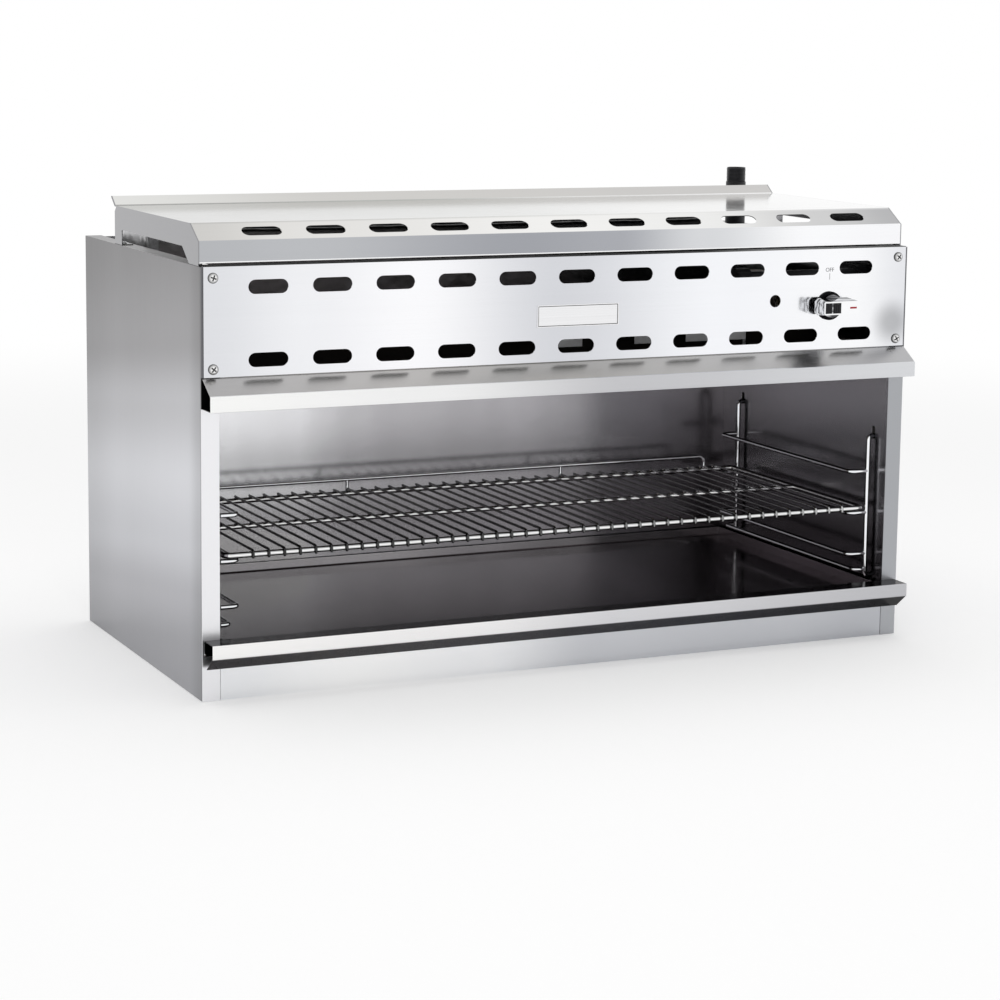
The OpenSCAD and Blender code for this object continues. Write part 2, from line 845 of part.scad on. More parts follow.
module burner_screw_holes(z0) {
    for (x = burner_screw_xs, side = [-1, 1])
        translate([x, burner_y + side * burner_screw_y, z0])
            cylinder(d = burner_screw_d + 2 * fit_gap, h = 4 * sheet);
}

module burner_plenum() {
    flange = plenum_out + [plenum_flange, plenum_flange];
    color("dimgray") from_front() difference() {
        union() {
            block([-plenum_out.x, burner_y - plenum_out.y, ceiling_top],
                  [plenum_out.x, burner_y + plenum_out.y, plenum_top]);
            block([-flange.x, burner_y - flange.y, ceiling_top],
                  [flange.x, burner_y + flange.y, ceiling_top + plenum_sheet]);
        }
        block([-plenum_in.x, burner_y - plenum_in.y, ceiling_top - 1],
              [plenum_in.x, burner_y + plenum_in.y, plenum_top - plenum_sheet]);
        translate([knob_x, burner_y, plenum_top - 2 * plenum_sheet])
            cylinder(r = box_half - 2 * box_wall, h = 3 * plenum_sheet);
        burner_screw_holes(ceiling_top - 1);
    }
}

module burner_tiles() {
    pitch_x = tile_l + tile_gap;
    pitch_y = tile_w + tile_gap;
    color("wheat") from_front()
        for (i = [0:tiles_long - 1], j = [0:tiles_deep - 1])
            translate([-tile_half.x + i * pitch_x, burner_y - tile_half.y + j * pitch_y, tile_z])
                cube([tile_l, tile_w, tile_t]);
}

module tile_gasket() {
    color("white") from_front() burner_ring(pocket_half, tile_half, tile_z, tile_z + tile_t);
}

module tile_frame() {
    flange = frame_half + [frame_flange, frame_flange];
    lip = tile_half - [frame_lip, frame_lip];
    color("gray") from_front() difference() {
        union() {
            burner_ring(frame_half, pocket_half, lip_z, ceiling_z);
            burner_ring(frame_half, lip, lip_z, tile_z);
            burner_ring(flange, pocket_half, ceiling_z - sheet, ceiling_z);
        }
        burner_screw_holes(ceiling_z - 2 * sheet);
    }
}

module radiant_screen() {
    inner = frame_half - [screen_bar, screen_bar];
    rods_each_side = floor(inner.x / screen_pitch);
    mid = screen_bar / 2;
    color("darkgray") from_front() {
        burner_ring(frame_half, inner, lip_z - screen_h, lip_z);
        for (i = [-rods_each_side:rods_each_side])
            rod([i * screen_pitch, burner_y - inner.y - mid, screen_rod_z],
                [i * screen_pitch, burner_y + inner.y + mid, screen_rod_z], screen_rod_d);
        for (row = [-1:1])
            rod([-inner.x - mid, burner_y + row * inner.y / 2, screen_tie_z],
                [inner.x + mid, burner_y + row * inner.y / 2, screen_tie_z], screen_rod_d);
    }
}

module burner_screws() {
    color("lightgray") from_front()
        for (x = burner_screw_xs, side = [-1, 1])
            translate([x, burner_y + side * burner_screw_y, ceiling_top + plenum_sheet]) {
                cylinder(d = small_screw_head_d, h = screw_head_h);
                translate([0, 0, -small_screw_l]) cylinder(d = burner_screw_d, h = small_screw_l + eps);
            }
}

module air_baffles() {
    front = burner_y - plenum_out.y;
    top = plenum_top + sheet;
    color("silver") from_front()
        for (span = baffle_spans) {
            block([span[0], baffle_y, plenum_top], [span[1], front + baffle_back, top]);
            block([span[0], baffle_y, top - baffle_drop], [span[1], baffle_y + sheet, top]);
        }
}

// ---------- valve, mixer and knob ----------

// Puts a shape that is drawn along +Z about the origin onto the valve axis, running backwards from y
module on_valve_axis(y) {
    translate([knob_x, y, knob_z]) rotate([-90, 0, 0]) children();
}

module air_ports(h) {
    for (i = [0:2])
        rotate(90 + 120 * i) translate([port_ring_r, 0, -eps]) cylinder(d = port_d, h = h + 2 * eps);
}

module mixer_tube() {
    length = box_y - mixer_y;
    throat = throat_y - mixer_y;
    color("dimgray") from_front() difference() {
        union() {
            on_valve_axis(mixer_y) rotate_extrude() polygon([
                [0, 0], [mixer_r, 0], [mixer_r, mixer_web], [throat_r, throat],
                [mixer_end_r, length], [mixer_end_r, length + box_wall], [0, length + box_wall]]);
            block([knob_x - box_half, box_y, plenum_top], [knob_x + box_half, box_y + 2 * box_half, box_top]);
        }
        on_valve_axis(mixer_y + mixer_web) rotate_extrude() polygon([
            [0, 0], [mixer_r - mixer_wall - 1, 0], [throat_r - mixer_wall, throat - mixer_web],
            [mixer_end_r - mixer_wall, length - mixer_web],
            [mixer_end_r - mixer_wall, length + 2 * box_wall], [0, length + 2 * box_wall]]);
        on_valve_axis(mixer_y) {
            air_ports(mixer_web);
            translate([0, 0, -eps]) cylinder(d = orifice_neck_d + 2 * fit_gap, h = mixer_web + 1);
        }
        block([knob_x - box_half + box_wall, box_y + box_wall, plenum_top - 1],
              [knob_x + box_half - box_wall, box_y + 2 * box_half - box_wall, box_top - box_wall]);
    }
}

module air_shutter() {
    color("goldenrod") from_front() on_valve_axis(shutter_y) difference() {
        union() {
            cylinder(r = mixer_r, h = shutter_t);
            translate([-4, mixer_r - 2, 0]) cube([8, shutter_tab + 2, shutter_t]);
        }
        air_ports(shutter_t);
        translate([0, 0, -1]) cylinder(d = orifice_neck_d + 2 * fit_gap, h = shutter_t + 2);
    }
}

module orifice_fitting() {
    jet_d = 2.4;
    color("goldenrod") from_front() difference() {
        union() {
            on_valve_axis(outlet_back)
                cylinder(d = orifice_af / cos(30), h = orifice_hex_back - outlet_back, $fn = 6);
            on_valve_axis(orifice_hex_back - 1)
                cylinder(d = orifice_neck_d, h = orifice_tip_y - orifice_hex_back + 1);
        }
        on_valve_axis(outlet_back - 1) cylinder(d = jet_d, h = orifice_tip_y);
    }
}

module gas_valve() {
    bore_end = stem_end + 4;
    color("burlywood") from_front() difference() {
        union() {
            block([knob_x - valve_half, valve_front, knob_z - valve_half],
                  [knob_x + valve_half, valve_back, knob_z + valve_half]);
            on_valve_axis(bonnet_front)
                cylinder(d = bonnet_af / cos(30), h = valve_front - bonnet_front + 1, $fn = 6);
            on_valve_axis(valve_back - 1) cylinder(d = outlet_d, h = outlet_back - valve_back + 1);
            translate([knob_x, manifold_y, knob_z]) cylinder(d = nipple_d, h = nipple_top - knob_z);
        }
        on_valve_axis(bonnet_front - 1) cylinder(d = stem_d + 2 * fit_gap, h = bore_end - bonnet_front);
    }
}

module valve_stem() {
    color("lightgray") from_front() on_valve_axis(knob_bore_end)
        cylinder(d = stem_d, h = stem_end - knob_bore_end);
}

module knob() {
    half = knob_l / 2;
    c = knob_corner;
    bar_back = knob_back - knob_skirt_t;
    face = [[-half, -knob_back_h + c], [-half + c, -knob_back_h], [half - c, -knob_back_h],
            [half, -knob_back_h + c], [half, knob_back_h - c], [half - c, knob_back_h],
            [-half + c, knob_back_h], [-half, knob_back_h - c]];
    side = [[knob_front, -knob_front_h], [bar_back, -knob_back_h], [bar_back, knob_back_h],
            [knob_front, knob_front_h]];
    color("lightgray") from_front() difference() {
        union() {
            translate([knob_x, 0, knob_z]) intersection() {
                across(-half, half, side);
                rotate([90, 0, 0]) linear_extrude(2 * knob_reach) polygon(face);
            }
            on_valve_axis(bar_back - 1) cylinder(r = knob_skirt_r, h = knob_skirt_t + 1);
        }
        on_valve_axis(knob_bore_end) cylinder(d = stem_d + 2 * fit_gap, h = knob_back - knob_bore_end + 1);
        translate([knob_x, set_screw_y, knob_z - knob_back_h - 1])
            cylinder(d = set_screw_d + 2 * fit_gap, h = knob_back_h + 1);
        translate([knob_x, 0, knob_z]) {
            block([inset_left, knob_front - 1, -inset_half_h],
                  [inset_right, knob_front + inset_depth, inset_half_h]);
            block([index_right - index_l, knob_front - 1, -index_h / 2],
                  [index_right, knob_front + inset_depth, index_h / 2]);
        }
    }
}

module knob_inset() {
    color("black") from_front() translate([knob_x, 0, knob_z])
        block([inset_left, knob_front, -inset_half_h], [inset_right, knob_front + inset_depth, inset_half_h]);
}

module knob_index() {
    color("firebrick") from_front() translate([knob_x, 0, knob_z])
        block([index_right - index_l, knob_front, -index_h / 2],
              [index_right, knob_front + inset_depth, index_h / 2]);
}

module knob_set_screw() {
    top = -stem_d / 2 - fit_gap;
    length = 5;
    color("dimgray") from_front() translate([knob_x, set_screw_y, knob_z + top - length])
        cylinder(d = set_screw_d, h = length);
}

module knob_bezel() {
    neck = 1.5;
    hole_d = stem_d + 1.4;
    color("black") from_front() difference() {
        union() {
            on_valve_axis(-sheet - bezel_t) cylinder(d = bezel_d, h = bezel_t);
            on_valve_axis(-sheet - 1) cylinder(d = bezel_neck_d, h = sheet + 1 + neck);
        }
        on_valve_axis(-sheet - bezel_t - 1) cylinder(d = hole_d, h = bezel_t + sheet + neck + 2);
    }
}

// ---------- gas line ----------

module manifold_pipe() {
    color("dimgray") from_front() difference() {
        pipe([manifold_left, manifold_y, gas_z], [inlet_x - pipe_end, manifold_y, gas_z], manifold_d);
        translate([knob_x, manifold_y, gas_z - manifold_d])
            cylinder(d = nipple_d + 2 * fit_gap, h = manifold_d);
        translate([pilot_x, manifold_y, gas_z - manifold_d])
            cylinder(d = pilot_nipple_d + 2 * fit_gap, h = manifold_d);
    }
}

module manifold_cap() {
    end = manifold_left - elbow_wall;
    color("dimgray") from_front() difference() {
        rod([end, manifold_y, gas_z], [end + cap_l, manifold_y, gas_z], manifold_d + 2 * elbow_wall);
        rod([manifold_left, manifold_y, gas_z], [end + cap_l + eps, manifold_y, gas_z],
            manifold_d + 2 * fit_gap);
    }
}

module elbow_front() {
    color("dimgray") from_front()
        elbow([inlet_x, manifold_y, gas_z], [-1, 0, 0], [0, 1, 0], manifold_d, manifold_d);
}

module feed_pipe() {
    color("dimgray") from_front()
        pipe([inlet_x, manifold_y + pipe_end, gas_z],
             [inlet_x, regulator_y - regulator_half + socket, gas_z], manifold_d);
}

module pressure_regulator() {
    bore_d = manifold_d + 2 * fit_gap;
    disc_left = regulator_disc_x - regulator_disc_t;
    low = [inlet_x, regulator_y - regulator_half, gas_z];
    high = [inlet_x, regulator_y + regulator_half, gas_z];
    along = [0, 1, 0];
    color("slategray") from_front() difference() {
        union() {
            rod(low, high, 2 * regulator_port_r);
            rod([disc_left + 1, regulator_y, gas_z], [inlet_x, regulator_y, gas_z], 2 * regulator_body_r);
            rod([disc_left, regulator_y, gas_z], [regulator_disc_x, regulator_y, gas_z],
                2 * regulator_disc_r);
            translate([disc_left, regulator_y, gas_z]) rotate([0, -90, 0])
                cylinder(r1 = regulator_disc_r - 3, r2 = regulator_dome_r, h = regulator_dome_l);
        }
        rod(low - along * eps, low + along * socket, bore_d);
        rod(high - along * socket, high + along * eps, bore_d);
        rod(low, high, manifold_d - 2 * pipe_wall);
    }
}

module regulator_cap() {
    dome_left = regulator_disc_x - regulator_disc_t - regulator_dome_l;
    color("gainsboro") from_front()
        rod([dome_left - regulator_cap_l, regulator_y, gas_z], [dome_left, regulator_y, gas_z],
            2 * regulator_cap_r);
}

module supply_nipple() {
    color("dimgray") from_front()
        pipe([inlet_x, regulator_y + regulator_half - socket, gas_z],
             [inlet_x, inlet_y - pipe_end, gas_z], manifold_d);
}

module elbow_inlet() {
    color("dimgray") from_front()
        elbow([inlet_x, inlet_y, gas_z], [0, -1, 0], [0, 0, 1], manifold_d, inlet_d);
}

module inlet_pipe() {
    thread_l = 19;
    thread_d = inlet_d - 0.8;
    low = [inlet_x, inlet_y, gas_z + pipe_end];
    shoulder = [inlet_x, inlet_y, inlet_top_z - thread_l];
    high = [inlet_x, inlet_y, inlet_top_z];
    color("black") from_front() difference() {
        union() {
            rod(low, shoulder, inlet_d);
            rod(shoulder - [0, 0, 1], high, thread_d);
        }
        rod(low - [0, 0, 1], high + [0, 0, 1], inlet_d - 2 * pipe_wall);
    }
}

// ---------- pilot ----------

module pilot_valve() {
    color("goldenrod") from_front() difference() {
        union() {
            block([pilot_x - pilot_half, pilot_front, pilot_z - pilot_half],
                  [pilot_x + pilot_half, pilot_back, pilot_z + pilot_half]);
            rod([pilot_x, pilot_boss_front, pilot_z], [pilot_x, pilot_front + 1, pilot_z], pilot_boss_d);
            rod([pilot_x, pilot_back - 1, pilot_z], [pilot_x, pilot_outlet_back, pilot_z], pilot_boss_d);
            rod([pilot_x, manifold_y, pilot_z], [pilot_x, manifold_y, nipple_top], pilot_nipple_d);
        }
        rod([pilot_x, pilot_boss_front - 1, pilot_z], [pilot_x, pilot_screw_end + 1, pilot_z],
            pilot_screw_shank_d + 2 * fit_gap);
        rod([pilot_x, pilot_back - 1, pilot_z], [pilot_x, pilot_outlet_back + 1, pilot_z],
            tube_d + 2 * fit_gap);
    }
}

module pilot_screw() {
    head_back = pilot_boss_front - lay_gap;
    head_front = head_back - pilot_screw_head_h;
    slot = pilot_screw_slot / 2;
    reach = pilot_screw_head_d;
    color("gold") from_front() difference() {
        union() {
            rod([pilot_x, head_front, pilot_z], [pilot_x, head_back, pilot_z], pilot_screw_head_d);
            rod([pilot_x, head_back - 1, pilot_z], [pilot_x, pilot_screw_end, pilot_z], pilot_screw_shank_d);
        }
        block([pilot_x - reach, head_front - 1, pilot_z - slot],
              [pilot_x + reach, head_front + pilot_screw_slot, pilot_z + slot]);
    }
}

module pilot_tube() {
    start = [pilot_x, pilot_back, pilot_z];
    corner = [pilot_x, tube_y - tube_bend, pilot_z];
    drop = [pilot_x, tube_y, pilot_z - tube_bend];
    end = [pilot_x, tube_y, ceiling_z - pilot_flange_t - 6];
    color("peru") from_front() {
        rod(start, corner, tube_d);
        bend([pilot_x, tube_y - tube_bend, pilot_z - tube_bend], [0, 0, 1], [0, 1, 0], tube_bend, tube_d);
        rod(drop, end, tube_d);
    }
}

module pilot_burner() {
    at = [pilot_x, tube_y, ceiling_z];
    color("lightgray") from_front() difference() {
        union() {
            translate(at - [0, 0, pilot_flange_t]) cylinder(d = pilot_flange_d, h = pilot_flange_t);
            translate(at - [0, 0, pilot_burner_h]) cylinder(d = pilot_burner_d, h = pilot_burner_h);
        }
        translate(at - [0, 0, pilot_flange_t + 6]) cylinder(d = tube_d + 2 * fit_gap, h = pilot_burner_h);
        block(at - [2, pilot_burner_d, pilot_burner_h + 1], at + [2, 0, 3 - pilot_burner_h]);
    }
}

// ---------- rack and guides ----------

// One runner of a guide: out of the front upright, back along the wall, and into the rear upright
module runner(x, z) {
    r = runner_r;
    rod([guide_x, guide_front, z], [x + r, guide_front, z], runner_d);
    bend([x + r, guide_front + r, z], [0, -1, 0], [-1, 0, 0], r, runner_d);
    rod([x, guide_front + r, z], [x, guide_rear - r, z], runner_d);
    bend([x + r, guide_rear - r, z], [-1, 0, 0], [0, 1, 0], r, runner_d);
    rod([x + r, guide_rear, z], [guide_x, guide_rear, z], runner_d);
}

module guide() {
    for (y = [guide_front, guide_rear]) {
        rod([guide_x, y, foot_z + foot_r], [guide_x, y, hook_z - hook_r], upright_d);
        bend([guide_x + hook_r, y, hook_z - hook_r], [-1, 0, 0], [0, 0, 1], hook_r, upright_d);
        rod([guide_x + hook_r, y, hook_z], [cav_half + hook_out, y, hook_z], upright_d);
        bend([guide_x + foot_r, y, foot_z + foot_r], [-1, 0, 0], [0, 0, -1], foot_r, upright_d);
        rod([guide_x + foot_r, y, foot_z], [cav_half + hook_out, y, foot_z], upright_d);
    }
    for (level = [0:2])
        runner(runner_x, level_z + level * level_pitch);
    runner(pan_runner_x, pan_runner_z);
}

module rack_guide_left() {
    color("lightgray") from_front() mirror([1, 0, 0]) guide();
}

module rack_guide_right() {
    color("lightgray") from_front() guide();
}

module rack_frame() {
    r = rack_corner;
    color("lightgray") from_front() {
        for (y = [rack_front, rack_rear])
            rod([-rack_x + r, y, rack_z], [rack_x - r, y, rack_z], rail_d);
        for (side = [-1, 1]) {
            rod([side * rack_x, rack_front + r, rack_z], [side * rack_x, rack_rear - r, rack_z], rail_d);
            bend([side * (rack_x - r), rack_front + r, rack_z], [side, 0, 0], [0, -1, 0], r, rail_d);
            bend([side * (rack_x - r), rack_rear - r, rack_z], [side, 0, 0], [0, 1, 0], r, rail_d);
        }
        rod([-rack_x, rack_mid, rack_z], [rack_x, rack_mid, rack_z], rail_d - 1);
    }
}

module rack_wires() {
    color("lightgray") from_front()
        for (x = wire_xs) {
            rod([x, rack_front, wire_z], [x, rack_rear + wire_tail, wire_z], wire_d);
            translate([x, rack_front, rack_z]) rotate([0, -90, 0]) mirror([0, 1, 0])
                rotate_extrude(angle = wire_wrap) translate([wire_turn, 0]) circle(d = wire_d);
        }
}

module rack_guard() {
    top = rack_z + guard_h;
    foot = rack_z - rail_d / 2;
    color("lightgray") from_front() {
        rod([-guard_half + guard_r, guard_y, top], [guard_half - guard_r, guard_y, top], guard_d);
        for (side = [-1, 1]) {
            rod([side * guard_half, guard_y, foot], [side * guard_half, guard_y, top - guard_r], guard_d);
            bend([side * (guard_half - guard_r), guard_y, top - guard_r],
                 [side, 0, 0], [0, 0, 1], guard_r, guard_d);
        }
        for (x = guard_post_xs)
            rod([x, guard_y, foot], [x, guard_y, top], guard_d - 0.6);
    }
}

// ---------- spillage pan ----------

module spillage_pan() {
    color("dimgray") from_front() {
        block([-pan_half, pan_front, pan_z], [pan_half, pan_back, pan_floor_top]);
        both_sides() block([pan_half - sheet, pan_front, pan_z], [pan_half, pan_back, pan_rim_z]);
        block([-pan_half, pan_back - sheet, pan_z], [pan_half, pan_back, pan_rim_z]);
        block([-pan_half, pan_front, pan_z], [pan_half, pan_front + sheet, handle_top - sheet]);
    }
}

module pan_handle() {
    lip_low = handle_top - handle_lip;
    line = [[pan_front, handle_top - handle_leg], [pan_front, handle_top], [-handle_reach, handle_top],
            [-handle_reach, lip_low], [-handle_tail, lip_low - handle_drop]];
    color("gainsboro") from_front() across(-handle_half, handle_half, folded(line, sheet));
}

// ---------- nodes ----------

side_panel_left();
side_panel_right();
back_panel();
bottom_panel();
kick_panel();
front_panel();
hood_trim();
top_cover();
nameplate();
panel_screws();
cover_screws();
back_screws();
leg_nuts();
liner_left();
liner_right();
liner_back();
ceiling_panel();
cavity_insulation();
ceiling_insulation();
flue_duct();
flue_insulation();
burner_plenum();
burner_tiles();
tile_gasket();
tile_frame();
radiant_screen();
burner_screws();
air_baffles();
mixer_tube();
air_shutter();
orifice_fitting();
gas_valve();
valve_stem();
knob();
knob_inset();
knob_index();
knob_set_screw();
knob_bezel();
manifold_pipe();
manifold_cap();
elbow_front();
feed_pipe();
pressure_regulator();
regulator_cap();
supply_nipple();
elbow_inlet();
inlet_pipe();
pilot_valve();
pilot_screw();
pilot_tube();
pilot_burner();
rack_guide_left();
rack_guide_right();
rack_frame();
rack_wires();
rack_guard();
pan_rails();
spillage_pan();
pan_handle();
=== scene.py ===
import json
import math

import bmesh
import bpy
from mathutils import Matrix, Vector, noise


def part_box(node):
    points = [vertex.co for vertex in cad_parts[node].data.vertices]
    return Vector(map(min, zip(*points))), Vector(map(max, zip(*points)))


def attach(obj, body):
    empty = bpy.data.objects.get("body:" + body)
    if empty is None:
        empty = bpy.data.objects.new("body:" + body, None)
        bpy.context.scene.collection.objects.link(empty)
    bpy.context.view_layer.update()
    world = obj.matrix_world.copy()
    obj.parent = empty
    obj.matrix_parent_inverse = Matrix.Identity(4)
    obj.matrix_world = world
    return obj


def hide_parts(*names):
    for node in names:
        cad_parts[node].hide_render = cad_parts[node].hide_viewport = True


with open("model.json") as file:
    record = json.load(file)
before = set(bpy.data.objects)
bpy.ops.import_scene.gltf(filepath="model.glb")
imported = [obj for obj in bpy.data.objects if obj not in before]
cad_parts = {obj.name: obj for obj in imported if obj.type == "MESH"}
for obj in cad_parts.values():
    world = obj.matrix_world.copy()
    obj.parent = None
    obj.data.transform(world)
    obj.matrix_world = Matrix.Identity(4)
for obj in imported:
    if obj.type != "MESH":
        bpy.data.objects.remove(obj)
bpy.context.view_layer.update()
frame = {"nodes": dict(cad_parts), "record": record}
nodes = frame["nodes"]
scene = bpy.context.scene

MM = 0.001
# Depths are counted back from the front of the posts.
POST_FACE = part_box("kick_panel")[0].y
SLOT_OF = {part["node"]: part["material_slot"] for part in frame["record"]["subparts"]}
BODY_OF = {node: body for body, members in frame["record"]["behaviour"]["bodies"].items() for node in members}
SLOT_COLOUR = {material["slot"]: tuple(material["base_color"]) for material in frame["record"]["materials"]}


def at(x, y, z):
    """A point in millimetres, with its depth from the front of the posts, as a place in the scene."""
    return Vector((x * MM, POST_FACE + y * MM, z * MM))


# ---------------------------------------------------------------- node trees


class Reading:
    """A socket of a node tree that takes part in Python arithmetic."""

    def __init__(self, tree, socket):
        self.tree = tree
        self.socket = socket

    def maths(self, operation, *values):
        return self.tree.node("ShaderNodeMath", {"operation": operation}, dict(enumerate(values)))

    def __add__(self, other):
        return self.maths("ADD", self, other)

    def __radd__(self, other):
        return self.maths("ADD", other, self)

    def __sub__(self, other):
        return self.maths("SUBTRACT", self, other)

    def __rsub__(self, other):
        return self.maths("SUBTRACT", other, self)

    def __mul__(self, other):
        return self.maths("MULTIPLY", self, other)

    def __rmul__(self, other):
        return self.maths("MULTIPLY", other, self)

    def __truediv__(self, other):
        return self.maths("DIVIDE", self, other)

    def __rtruediv__(self, other):
        return self.maths("DIVIDE", other, self)

    def __pow__(self, other):
        return self.maths("POWER", self, other)

    def __abs__(self):
        return self.maths("ABSOLUTE", self)

    def __gt__(self, other):
        return self.maths("GREATER_THAN", self, other)

    def __lt__(self, other):
        return self.maths("LESS_THAN", self, other)

    def least(self, other):
        return self.maths("MINIMUM", self, other)

    def greatest(self, other):
        return self.maths("MAXIMUM", self, other)

    def fraction(self):
        return self.maths("FRACT", self)

    def sign(self):
        return self.maths("SIGN", self)

    def rise(self, start, end):
        """0 before start, 1 after end, and a smooth rise between them."""
        return self.tree.node("ShaderNodeMapRange", {"interpolation_type": "SMOOTHSTEP"},
                              {"Value": self, "From Min": start, "From Max": end})


class Graph:
    """Nodes and links, added through node()."""

    def __init__(self, tree):
        self.tree = tree

    def node(self, kind, settings=None, sockets=None, output=0):
        made = self.tree.nodes.new(kind)
        for name, value in (settings or {}).items():
            if name == "stops":
                ramp = made.color_ramp
                ramp.interpolation = "EASE"
                while len(ramp.elements) < len(value):
                    ramp.elements.new(0.5)
                for element, (position, colour) in zip(ramp.elements, value):
                    element.position = position
                    element.color = (*colour, 1.0)
            else:
                setattr(made, name, value)
        for name, value in (sockets or {}).items():
            if isinstance(value, Reading):
                self.tree.links.new(value.socket, made.inputs[name])
            else:
                made.inputs[name].default_value = value
        return Reading(self, made.outputs[output]) if made.outputs else None

    def scaled(self, colour, factor):
        return self.node("ShaderNodeVectorMath", {"operation": "SCALE"}, {0: colour, "Scale": factor})

    def mixed(self, share, a, b):
        """Colour a where share is 0, and colour b where it is 1."""
        pair = [value if isinstance(value, Reading) else (*value, 1.0) for value in (a, b)]
        return self.node("ShaderNodeMix", {"data_type": "RGBA"}, {0: share, 6: pair[0], 7: pair[1]}, 2)


class Finish(Graph):
    """A procedural material on Object coordinates."""

    def __init__(self, name, metallic, **constants):
        self.material = bpy.data.materials.new(name)
        self.material.use_nodes = True
        super().__init__(self.material.node_tree)
        self.tree.nodes.clear()
        self.place = self.node("ShaderNodeTexCoord", output="Object")
        self.x, self.y, self.z = (self.node("ShaderNodeSeparateXYZ", sockets={0: self.place}, output=i)
                                  for i in range(3))
        self.depth = self.y - POST_FACE
        self.shader = self.node("ShaderNodeBsdfPrincipled", sockets={"Metallic": metallic, **constants})
        self.node("ShaderNodeOutputMaterial", sockets={"Surface": self.shader})

    def stretched(self, scale):
        return self.node("ShaderNodeMapping", sockets={"Vector": self.place, "Scale": scale})

    def noise(self, scale, detail=2.0, where=None):
        return self.node("ShaderNodeTexNoise", sockets={"Vector": where or self.place, "Scale": scale,
                                                        "Detail": detail})

    def along(self, axis, *stops):
        """A colour that changes along an axis. Each stop is a place in millimetres and a colour or a grey."""
        first, last = stops[0][0], stops[-1][0]
        steps = [((place - first) / (last - first), colour if isinstance(colour, tuple) else (colour,) * 3)
                 for place, colour in stops]
        return self.node("ShaderNodeValToRGB", {"stops": steps},
                         {"Fac": (axis - first * MM) / ((last - first) * MM)})

    def tinted(self, colour):
        """A colour, or what a function of the finish makes of it."""
        return colour(self) if callable(colour) else colour

    def feed(self, **inputs):
        for name, value in inputs.items():
            self.tree.links.new(value.socket, self.shader.socket.node.inputs[name.replace("_", " ")])

    def bumped(self, height, distance):
        self.feed(Normal=self.node("ShaderNodeBump", sockets={"Height": height, "Distance": distance}))


# ---------------------------------------------------------------- finishes

# The scale of the grain of a sheet that was brushed along one axis.
ALONG_X, ALONG_Y, ALONG_Z = (3, 600, 600), (600, 3, 600), (600, 600, 3)
# How rough a sheet is where a painted shade takes its shine away.
PAINTED_SHADE_ROUGHNESS = 0.95


def sheet(name, colour, roughness, grain=ALONG_X, streak=0.05, cloud=0.04, smudge=0.05, bump=0.000005,
          graze=1.0, painted_shade=None):
    """Rolled sheet steel: fine grain lines, slow clouds in its tone, and smudges in its gloss.

    A low graze dulls the sheet where it is seen almost edge on. The last argument is a function that says
    where a painted shade takes all the shine off the sheet, which then has no smudges either.
    """
    f = Finish(name, 1.0, **{"Specular Tint": (graze, graze, graze, 1.0)})
    lines = f.noise(1.0, 3.0, f.stretched(grain))
    bands = f.noise(1.0, 2.0, f.stretched(tuple(v / 10 for v in grain)))
    clouds = f.noise(6.0, 3.0)
    marks = f.noise(34.0, 4.0)
    tone = 1.0 + streak * (lines - 0.5) + 0.7 * streak * (bands - 0.5) + cloud * (clouds - 0.5)
    f.feed(Base_Color=f.scaled(f.tinted(colour), tone))
    if painted_shade:
        # Painted shade: no metal and no gloss there, so the sheet shows only its dark colour.
        painted_shade_share = painted_shade(f)
        f.feed(Metallic=1.0 - painted_shade_share, Roughness=roughness + (PAINTED_SHADE_ROUGHNESS - roughness) * painted_shade_share)
    else:
        f.feed(Roughness=roughness + 0.08 * (lines - 0.5) + smudge * (marks - 0.5) + smudge * (clouds - 0.5))
    f.bumped(lines + 0.4 * bands, bump)
    return f.material


def plate(name, colour, roughness, cloud=0.05):
    """Chrome or zinc plate: nearly smooth, with a slight haze and a few dull specks."""
    f = Finish(name, 1.0)
    haze = f.noise(60.0, 3.0)
    specks = f.noise(800.0, 2.0)
    f.feed(Base_Color=f.scaled(f.tinted(colour), 1.0 + cloud * (haze - 0.5)),
           Roughness=roughness * (0.7 + 0.6 * haze) + 0.05 * (specks > 0.68))
    f.bumped(haze, 0.000008)
    return f.material


def heated(name, colour, warm, roughness):
    """Steel that has been near the flames: straw-brown clouds over a dull scale."""
    f = Finish(name, 1.0)
    clouds = f.noise(9.0, 4.0)
    scale = f.noise(160.0, 5.0)
    f.feed(Base_Color=f.scaled(f.mixed(clouds.rise(0.35, 0.7), colour, warm), 0.82 + 0.36 * scale),
           Roughness=roughness + 0.2 * (scale - 0.5) + 0.1 * (clouds - 0.5),
           Metallic=0.95 - 0.3 * scale.rise(0.5, 0.75))
    f.bumped(scale, 0.00005)
    return f.material


def cast(name, colour, roughness, metallic, coarse=260.0, height=0.00007, wear=0.3):
    """Cast or forged surface: a fine orange peel with worn high spots."""
    f = Finish(name, metallic)
    peel = f.noise(coarse, 4.0)
    blotch = f.noise(45.0, 3.0)
    f.feed(Base_Color=f.scaled(colour, 0.85 + 0.3 * blotch + wear * peel.rise(0.58, 0.8)),
           Roughness=roughness + 0.2 * (peel - 0.5) + 0.12 * (blotch - 0.5))
    f.bumped(peel, height)
    return f.material


def machined(name, colour, roughness):
    """Turned or milled bar: fine tool lines, and a dull tarnish here and there."""
    f = Finish(name, 1.0)
    lines = f.noise(1.0, 2.0, f.stretched((300, 1500, 300)))
    tarnish = f.noise(70.0, 4.0).rise(0.45, 0.7)
    dull = tuple(0.5 * c for c in colour)
    f.feed(Base_Color=f.scaled(f.mixed(0.45 * tarnish, colour, dull), 0.93 + 0.14 * lines),
           Roughness=roughness + 0.14 * tarnish + 0.08 * (lines - 0.5))
    f.bumped(lines, 0.00002)
    return f.material


